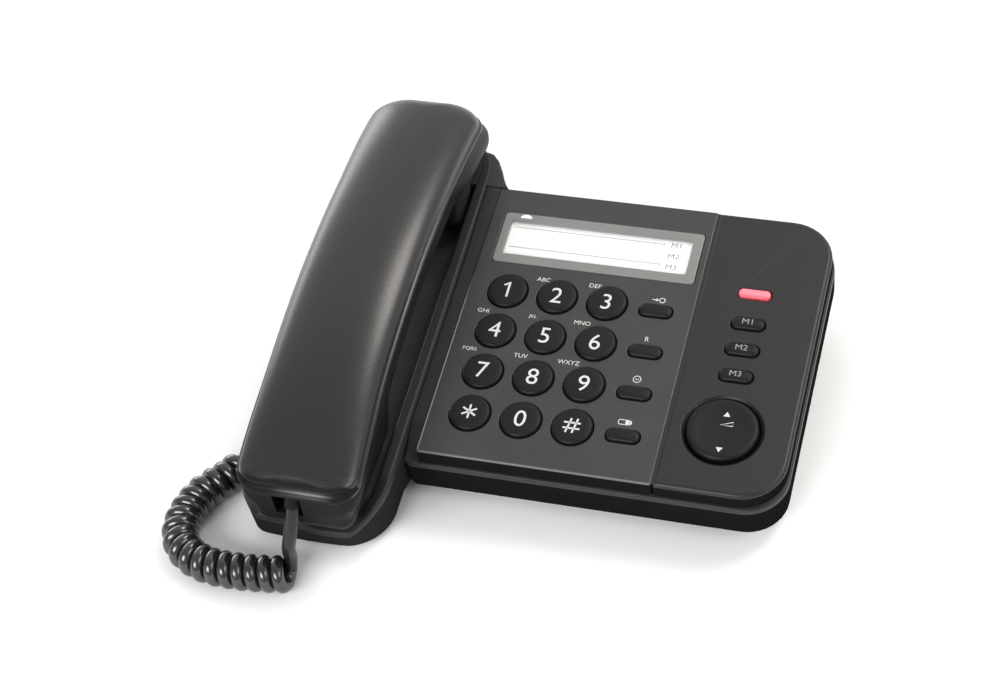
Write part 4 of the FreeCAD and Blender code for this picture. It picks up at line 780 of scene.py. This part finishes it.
sh = Shape()
rings = []
for b, z in ((2.0, Z_BOTTOM), (0.8, Z_BOTTOM + 0.3), (0.3, Z_BOTTOM + 1.0)):
    rings.append(at(cradle_ring(b, b * 0.3 + 0.2, b * 0.6, b, 6.0, 15.0), z))
for t in (0.3, 0.6, 0.85):
    r = cradle_ring(0.3 - 0.3 * t, 0.25 - 0.2 * t, 0.2 - 0.2 * t, 0.3 - 0.3 * t, 6.0, 15.0 + t)
    rings.append([(x, y, Z_BOTTOM + 1.0 + (h - 1.2 - (Z_BOTTOM + 1.0)) * t) for (x, y), h in zip(r, HEIGHT)])
for i, d in reversed(quarter(1.5, 6)):
    rings.append([(x, y, h - d) for (x, y), h in zip(inset(i), HEIGHT)])
for o in (2.2, 3.2, 4.4):
    rings.append([(x, y, max(h - 0.02 * o, floor_z(y))) for (x, y), h in zip(inset(o), HEIGHT)])
for i in range(1, 7):
    a = math.pi / 2 * i / 6
    rings.append([(x, y, max(h - 0.09 - 1.6 * (1 - math.cos(a)), floor_z(y)))
                  for (x, y), h in zip(inset(4.4 + 1.6 * math.sin(a)), HEIGHT)])
rings.append([(x, y, max(min(h - 4.0, -6.0), floor_z(y))) for (x, y), h in zip(inset(6.4), HEIGHT)])
# the outer wall leans in where it stands free of the slab
for k in range(6):
    rings[k] = [(x - 2.0 * (1 - k / 6) * smooth((-40.0 - y) / 8.0) * smooth((x + 60.0) / 12.0), y, z) for x, y, z in rings[k]]
last = inset(7.1)
rings.append([(x, y, floor_z(y)) for x, y in last])
rings = [[(x, y - 1.5 * max(0.0, 1 - ((x + 67.0) / 25.0) ** 2) * smooth((-58.0 - y) / 10.0), z) for x, y, z in r] for r in rings]
# outer wall, then the rim with painted light, then the trough with painted fill light
sh.loft(rings, [1] * 5 + [0] * 16 + [2] * (len(rings) - 22), cap0=True)


def bridge(n):
    """Faces that close a ring of n points with strips across it."""
    out = [(0, 1, n - 1)]
    for i in range(1, n // 2):
        a, b, c, d = i, i + 1, (n - i - 1) % n, n - i
        out.append((a, b, c, d) if b != c else (a, b, d))
    return out


# floor in strips, with a round hole at the ear end for the hook plunger
k = next(i for i, q in enumerate(last) if q[1] > 46.5)
sh.add(rings[-1], bridge(len(last))[:k], 2)
well = circle(-64.2, 74.0, 4.0, 40)
sh.fill([last[k:len(last) - k + 1], well], FLOOR[-1][1], 2)
sh.loft([at(well, FLOOR[-1][1]), at(well, -16.0)], 2)
# web in the inner corner behind the slab
WEB = [(-46.0, 76.25), (-31.0, 76.25), (-31.5, 76.9), (-32.6, 78.4), (-34.0, 81.0), (-35.2, 83.8), (-36.7, 86.6), (-38.2, 89.3),
       (-40.8, 92.0), (-43.0, 92.7), (-46.0, 93.0)]
web_in = [(-46.0, 76.25), (-32.2, 76.25), (-32.6, 76.8), (-33.5, 78.1), (-34.9, 80.7), (-36.1, 83.4), (-37.6, 86.1), (-39.0, 88.6),
          (-41.2, 91.1), (-43.2, 91.7), (-46.0, 92.0)]
sh.loft([at(WEB, -21.5), at(WEB, -3.7), at([((a * 2 + c) / 3, (b * 2 + d) / 3) for (a, b), (c, d) in zip(WEB, web_in)], -3.05),
         at(web_in, -2.75)], cap1=True)
make("cradle", sh, PANEL, [RIM_LIT, WALL, TROUGH_FILL], "base")

# ------------------------------------------------------------------ handset
HW, HL, HM = 21.4, 88.9, 1.8
R_FRONT, R_REAR = 9.0, 12.0


def bow(y):
    """Height of the parting line."""
    return -286.2 + math.sqrt(298.0 ** 2 - (y - 11.7) ** 2)


def hand_ring(w, l, rf, rr, n_end=8, n_arc=16, n_side=60):
    """Outline of the handset: points and outward normals, counter-clockwise from the front middle."""
    q = [math.pi / 2 * i / n_arc for i in range(n_arc)]
    half = [((w - rf) * i / n_end, -l, 0.0, -1.0) for i in range(n_end)]
    half += [(w - rf + rf * math.sin(a), -l + rf - rf * math.cos(a), math.sin(a), -math.cos(a)) for a in q]
    half += [(w, -l + rf + (2 * l - rf - rr) * i / n_side, 1.0, 0.0) for i in range(n_side)]
    half += [(w - rr + rr * math.cos(a), l - rr + rr * math.sin(a), math.cos(a), math.sin(a)) for a in q]
    half += [((w - rr) * (1 - i / n_end), l, 0.0, 1.0) for i in range(n_end + 1)]
    return half + [(-x, y, -nx, ny) for x, y, nx, ny in reversed(half[1:-1])]


edge = hand_ring(HW, HL, R_FRONT, R_REAR)


def flare(x, y):
    """Both ends are a little wider than the grip."""
    e = smooth((y - 35.0) / 45.0)
    return x * (1 + 0.028 * e + 0.045 * smooth((-40.0 - y) / 40.0)) - 0.5 * e * (x / HW) ** 2 + 0.2


def crown(y):
    """Height of the cover's ridge over the parting line."""
    return 9.0 + 0.6 * smooth((y - 30.0) / 50.0) - 1.7 * (max(0.0, -30.0 - y) / 57.0) ** 2


def reach(y):
    """The mouth end stands out a little further than the ear end."""
    return 1.5 * smooth((-55.0 - y) / 25.0)


def cover_ring(o, z, f=0.0):
    """The outline shrunk towards the handset's middle line by o; f is the share of the way from z up to the ridge."""
    out = []
    for x, y, nx, ny in edge:
        # the front edge has a broader bead
        w = 1.2 * smooth((-ny - 0.2) / 0.7)
        k, e = 1 - o / HW, 1 - (0.55 if y > 0 else 0.22) * o / HW
        sy = max(-HL + HW, min(HL - HW, y))
        yy = sy + (y - sy) * e + HM - reach(y) + min(o, 1.0) * w * (1 - f)
        rise = z * (1 + w)
        out.append((flare(x * k, yy), yy, bow(yy) + rise + (crown(yy) - rise) * f))
    return out


sh = Shape()
BEAD = [(2.5, 0.0), (0.3, 0.0), (0.06, 0.12), (0.0, 0.4), (0.0, 0.8), (0.08, 1.1), (0.3, 1.32), (0.6, 1.42), (0.85, 1.5), (1.0, 1.75)]
rings = [cover_ring(o, z) for o, z in BEAD]
for j in range(1, 29):
    u = math.sin(math.pi / 2 * j / 28) ** 1.7
    rings.append(cover_ring(1.0 + (HW - 1.05) * u, 1.75, (1 - (1 - u) ** 2.25) ** (1 / 2.05)))
sh.loft(rings, cap0=True)
# the front bead's upper faces take the plastic with the painted highlight
for i in range(4, 9):
    for j, (x, y, nx, ny) in enumerate(edge):
        if -ny > 0.35:
            sh.m[i * len(edge) + j] = 1
sh.add(rings[-1], bridge(len(edge)))
make("handset_cover", sh, HAND, [SHELL, GLEAM], "handset", ("handset_back_cover",))

GRIP, EAR, MOUTH = 10.0, -22.3, -27.0


def ear(y):
    return smooth((y - 44.0) / 9.0)


def mouth(y):
    return smooth((-34.0 - y) / 10.0)


def under(y):
    """Height of the lowest line of the front shell."""
    g = bow(y) - GRIP
    return g + (EAR - g) * ear(y) + (MOUTH - g) * mouth(y)


edge = hand_ring(HW - 0.3, HL - 0.8, R_FRONT - 0.8, R_REAR - 0.8)
sh = Shape()
edge = [(x, y - reach(y), nx, ny) for x, y, nx, ny in edge]
rings = [[(flare(x - nx * 3.0, y), y - ny * 3.0 + HM, bow(y - ny * 3.0 + HM) - 0.35) for x, y, nx, ny in edge]]


def wall(x, y, nx, ny, z, o=0.0):
    """A point of the front shell's side at height z; it draws in below the parting line."""
    d = bow(y) - 0.35 - z
    o += 2.9 * smooth((d - 5.5) / 8.5) * (1 - 0.75 * max(0.0, -ny) ** 2)
    # the ear end swells past the cover
    o -= smooth((y - 40.0) / 24.0) * smooth(abs(nx) / 0.7) * (2.3 if nx > 0 else 0.7) * smooth((d - 0.3) / 3.5) * (1 - smooth((d - 9.0) / 6.0))
    if ny > 0 and y > 60:
        o += 4.1 * ny * ny * smooth((d - 7.0) / 5.0)
    x -= nx * o
    return (x + (flare(x, y) - x) * (1 - smooth((d - 1.0) / 11.0)), y - ny * o, z)


for t in [i / 20 for i in range(21)]:
    ring = []
    for x, y, nx, ny in edge:
        y += HM
        r = 4.0 + 4.0 * mouth(y)
        top = bow(y) - 0.35
        ring.append(wall(x, y, nx, ny, top + (under(y) + r - top) * t))
    rings.append(ring)
for i in range(1, 9):
    a = math.pi / 2 * i / 8
    ring = []
    for x, y, nx, ny in edge:
        y += HM
        r = 4.0 + 4.0 * mouth(y)
        px, py, pz = wall(x, y, nx, ny, under(y) + r, r * (1 - math.cos(a)))
        ring.append((px, py, pz - r * math.sin(a)))
    rings.append(ring)
n = len(edge)
# the chin's slot for the cord socket is left out of the front wall
SLOT = {(k, j % n) for k in range(1, 17) for j in range(-5, 1)}
verts = [p for r in rings for p in r]
faces = []
for k in range(len(rings) - 1):
    for j in range(n):
        if (k, j) not in SLOT:
            a, b = k * n + j, k * n + (j + 1) % n
            faces.append((a, a + n, b + n, b))
sh.add(verts, faces)
sh.add(rings[-1], [tuple(reversed(f)) for f in bridge(n)])
sh.add(rings[0], bridge(n))
top_row, low_row = rings[1], rings[17]
cols = [j % n for j in range(-5, 2)]
for j0, flip in ((cols[0], False), (cols[-1], True)):
    col = [rings[k][j0] for k in range(1, 18)]
    deep = [(x, y + 8.5, z) for x, y, z in col]
    m = len(col)
    f = [(k, k + 1, m + k + 1, m + k) for k in range(m - 1)]
    sh.add(col + deep, f if flip else [tuple(reversed(q)) for q in f], 1)
low = [low_row[j] for j in cols]
m = len(low)
sh.add(low + [(x, y + 8.5, z) for x, y, z in low], [(k, k + 1, m + k + 1, m + k) for k in range(m - 1)], 1)
back = [(x, y + 8.5, z) for x, y, z in (top_row[cols[0]], top_row[cols[-1]], low_row[cols[-1]], low_row[cols[0]])]
sh.add(back, [(3, 2, 1, 0)], 1)


def spot(cx, cy, r, mat=1):
    """A dark disc just under the under side: painted shade standing in for a hole or recess."""
    pts = [(cx + r * math.cos(2 * math.pi * i / 24), cy + r * math.sin(2 * math.pi * i / 24)) for i in range(24)]
    sh.add([(x, y, under(y) - 0.03) for x, y in pts], [tuple(reversed(range(24)))], mat)


spot(0, 68.0, 1.0)
for i in range(6):
    spot(5.0 * math.cos(i * math.pi / 3), 68.0 + 5.0 * math.sin(i * math.pi / 3), 1.0)
spot(0, -60.0, 0.9)
spot(0, 35.0, 2.8)
spot(0, -35.0, 2.8)
make("handset_shell", sh, HAND, [CHIN, INNER], "handset", ("handset_front_shell",))

# ------------------------------------------------------------------ CAD pieces that stay
STAY = {
    "desk_stand": SIDE_SHADED, "rubber_feet": RUBBER, "main_pcb": BOARD, "pcb_components": INNER, "keypad_membrane": RUBBER,
    "hook_plunger": TROUGH_FILL, "hook_switch": INNER, "hook_spring": STEEL, "ringer": INNER, "line_jack": JACK,
    "base_handset_jack": JACK, "handset_jack": JACK, "plug_base": PLUGM, "plug_handset": PLUG_SHADE, "base_screws": STEEL,
    "pcb_screws": STEEL, "handset_screws": STEEL, "receiver_capsule": CAPSULE, "receiver_gasket": RUBBER,
    "microphone_capsule": CAPSULE, "microphone_boot": RUBBER, "handset_weight": IRON, "led": LENS,
}
for name, mat in STAY.items():
    me = NODES[name].data
    me.materials.clear()
    me.materials.append(mat)

# ------------------------------------------------------------------ floor and light
me = bpy.data.meshes.new("floor")
me.from_pydata([(-4, -4, 0), (4, -4, 0), (4, 4, 0), (-4, 4, 0)], [], [(0, 1, 2, 3)])
floor = bpy.data.objects.new("floor", me)
bpy.context.scene.collection.objects.link(floor)
me.materials.append(plastic("floor_paper", (0.96, 0.96, 0.96), 0.9, vary=0.004, grain=2.0, bump=0.02))

world = bpy.data.worlds.new("world")
bpy.context.scene.world = world
world.use_nodes = True
# paler towards the rear, where the panel and the handset mirror it, darker overhead
wn = world.node_tree
wco = wn.nodes.new("ShaderNodeTexCoord")
wsep = wn.nodes.new("ShaderNodeSeparateXYZ")
wn.links.new(wco.outputs["Generated"], wsep.inputs["Vector"])
wr = wn.nodes.new("ShaderNodeMapRange")
wr.inputs["From Min"].default_value, wr.inputs["From Max"].default_value = -1.0, 1.0
wn.links.new(wsep.outputs["Y"], wr.inputs["Value"])
ramp = wn.nodes.new("ShaderNodeValToRGB")
ramp.color_ramp.elements[0].position, ramp.color_ramp.elements[1].position = 0.45, 0.70
ramp.color_ramp.elements[0].color, ramp.color_ramp.elements[1].color = (0.42, 0.42, 0.42, 1), (0.94, 0.94, 0.94, 1)
for at_y, v in ((0.78, 0.94), (0.90, 0.78)):
    stop = ramp.color_ramp.elements.new(at_y)
    stop.color = (v, v, v, 1)
wn.links.new(wr.outputs["Result"], ramp.inputs["Fac"])
wn.links.new(ramp.outputs["Color"], wn.nodes["Background"].inputs["Color"])
wn.nodes["Background"].inputs["Strength"].default_value = 1.0


def softbox(name, place, aim, size, power, color=(1, 1, 1)):
    li = bpy.data.lights.new(name, "AREA")
    li.shape, li.size, li.size_y, li.energy, li.color = "RECTANGLE", size[0], size[1], power, color
    ob = bpy.data.objects.new(name, li)
    bpy.context.scene.collection.objects.link(ob)
    ob.location = place
    ob.rotation_euler = (Vector(aim) - Vector(place)).to_track_quat("-Z", "Y").to_euler()
    return ob


softbox("front", (-0.7, -1.9, 1.3), (0, 0, 0.02), (1.5, 0.9), 44.0)
softbox("rear", (0.80, 0.95, 1.8), (0, 0, 0.02), (0.9, 0.9), 22.0, (1.0, 0.95, 0.90))
softbox("side", (1.5, -0.5, 1.2), (0, 0, 0.02), (0.9, 0.9), 9.0)
softbox("rim", (-2.0, 1.7, 0.5), (0, 0, 0.05), (1.8, 0.8), 20.0)

bpy.context.scene.view_settings.view_transform = "Standard"
bpy.context.scene.view_settings.look = "None"
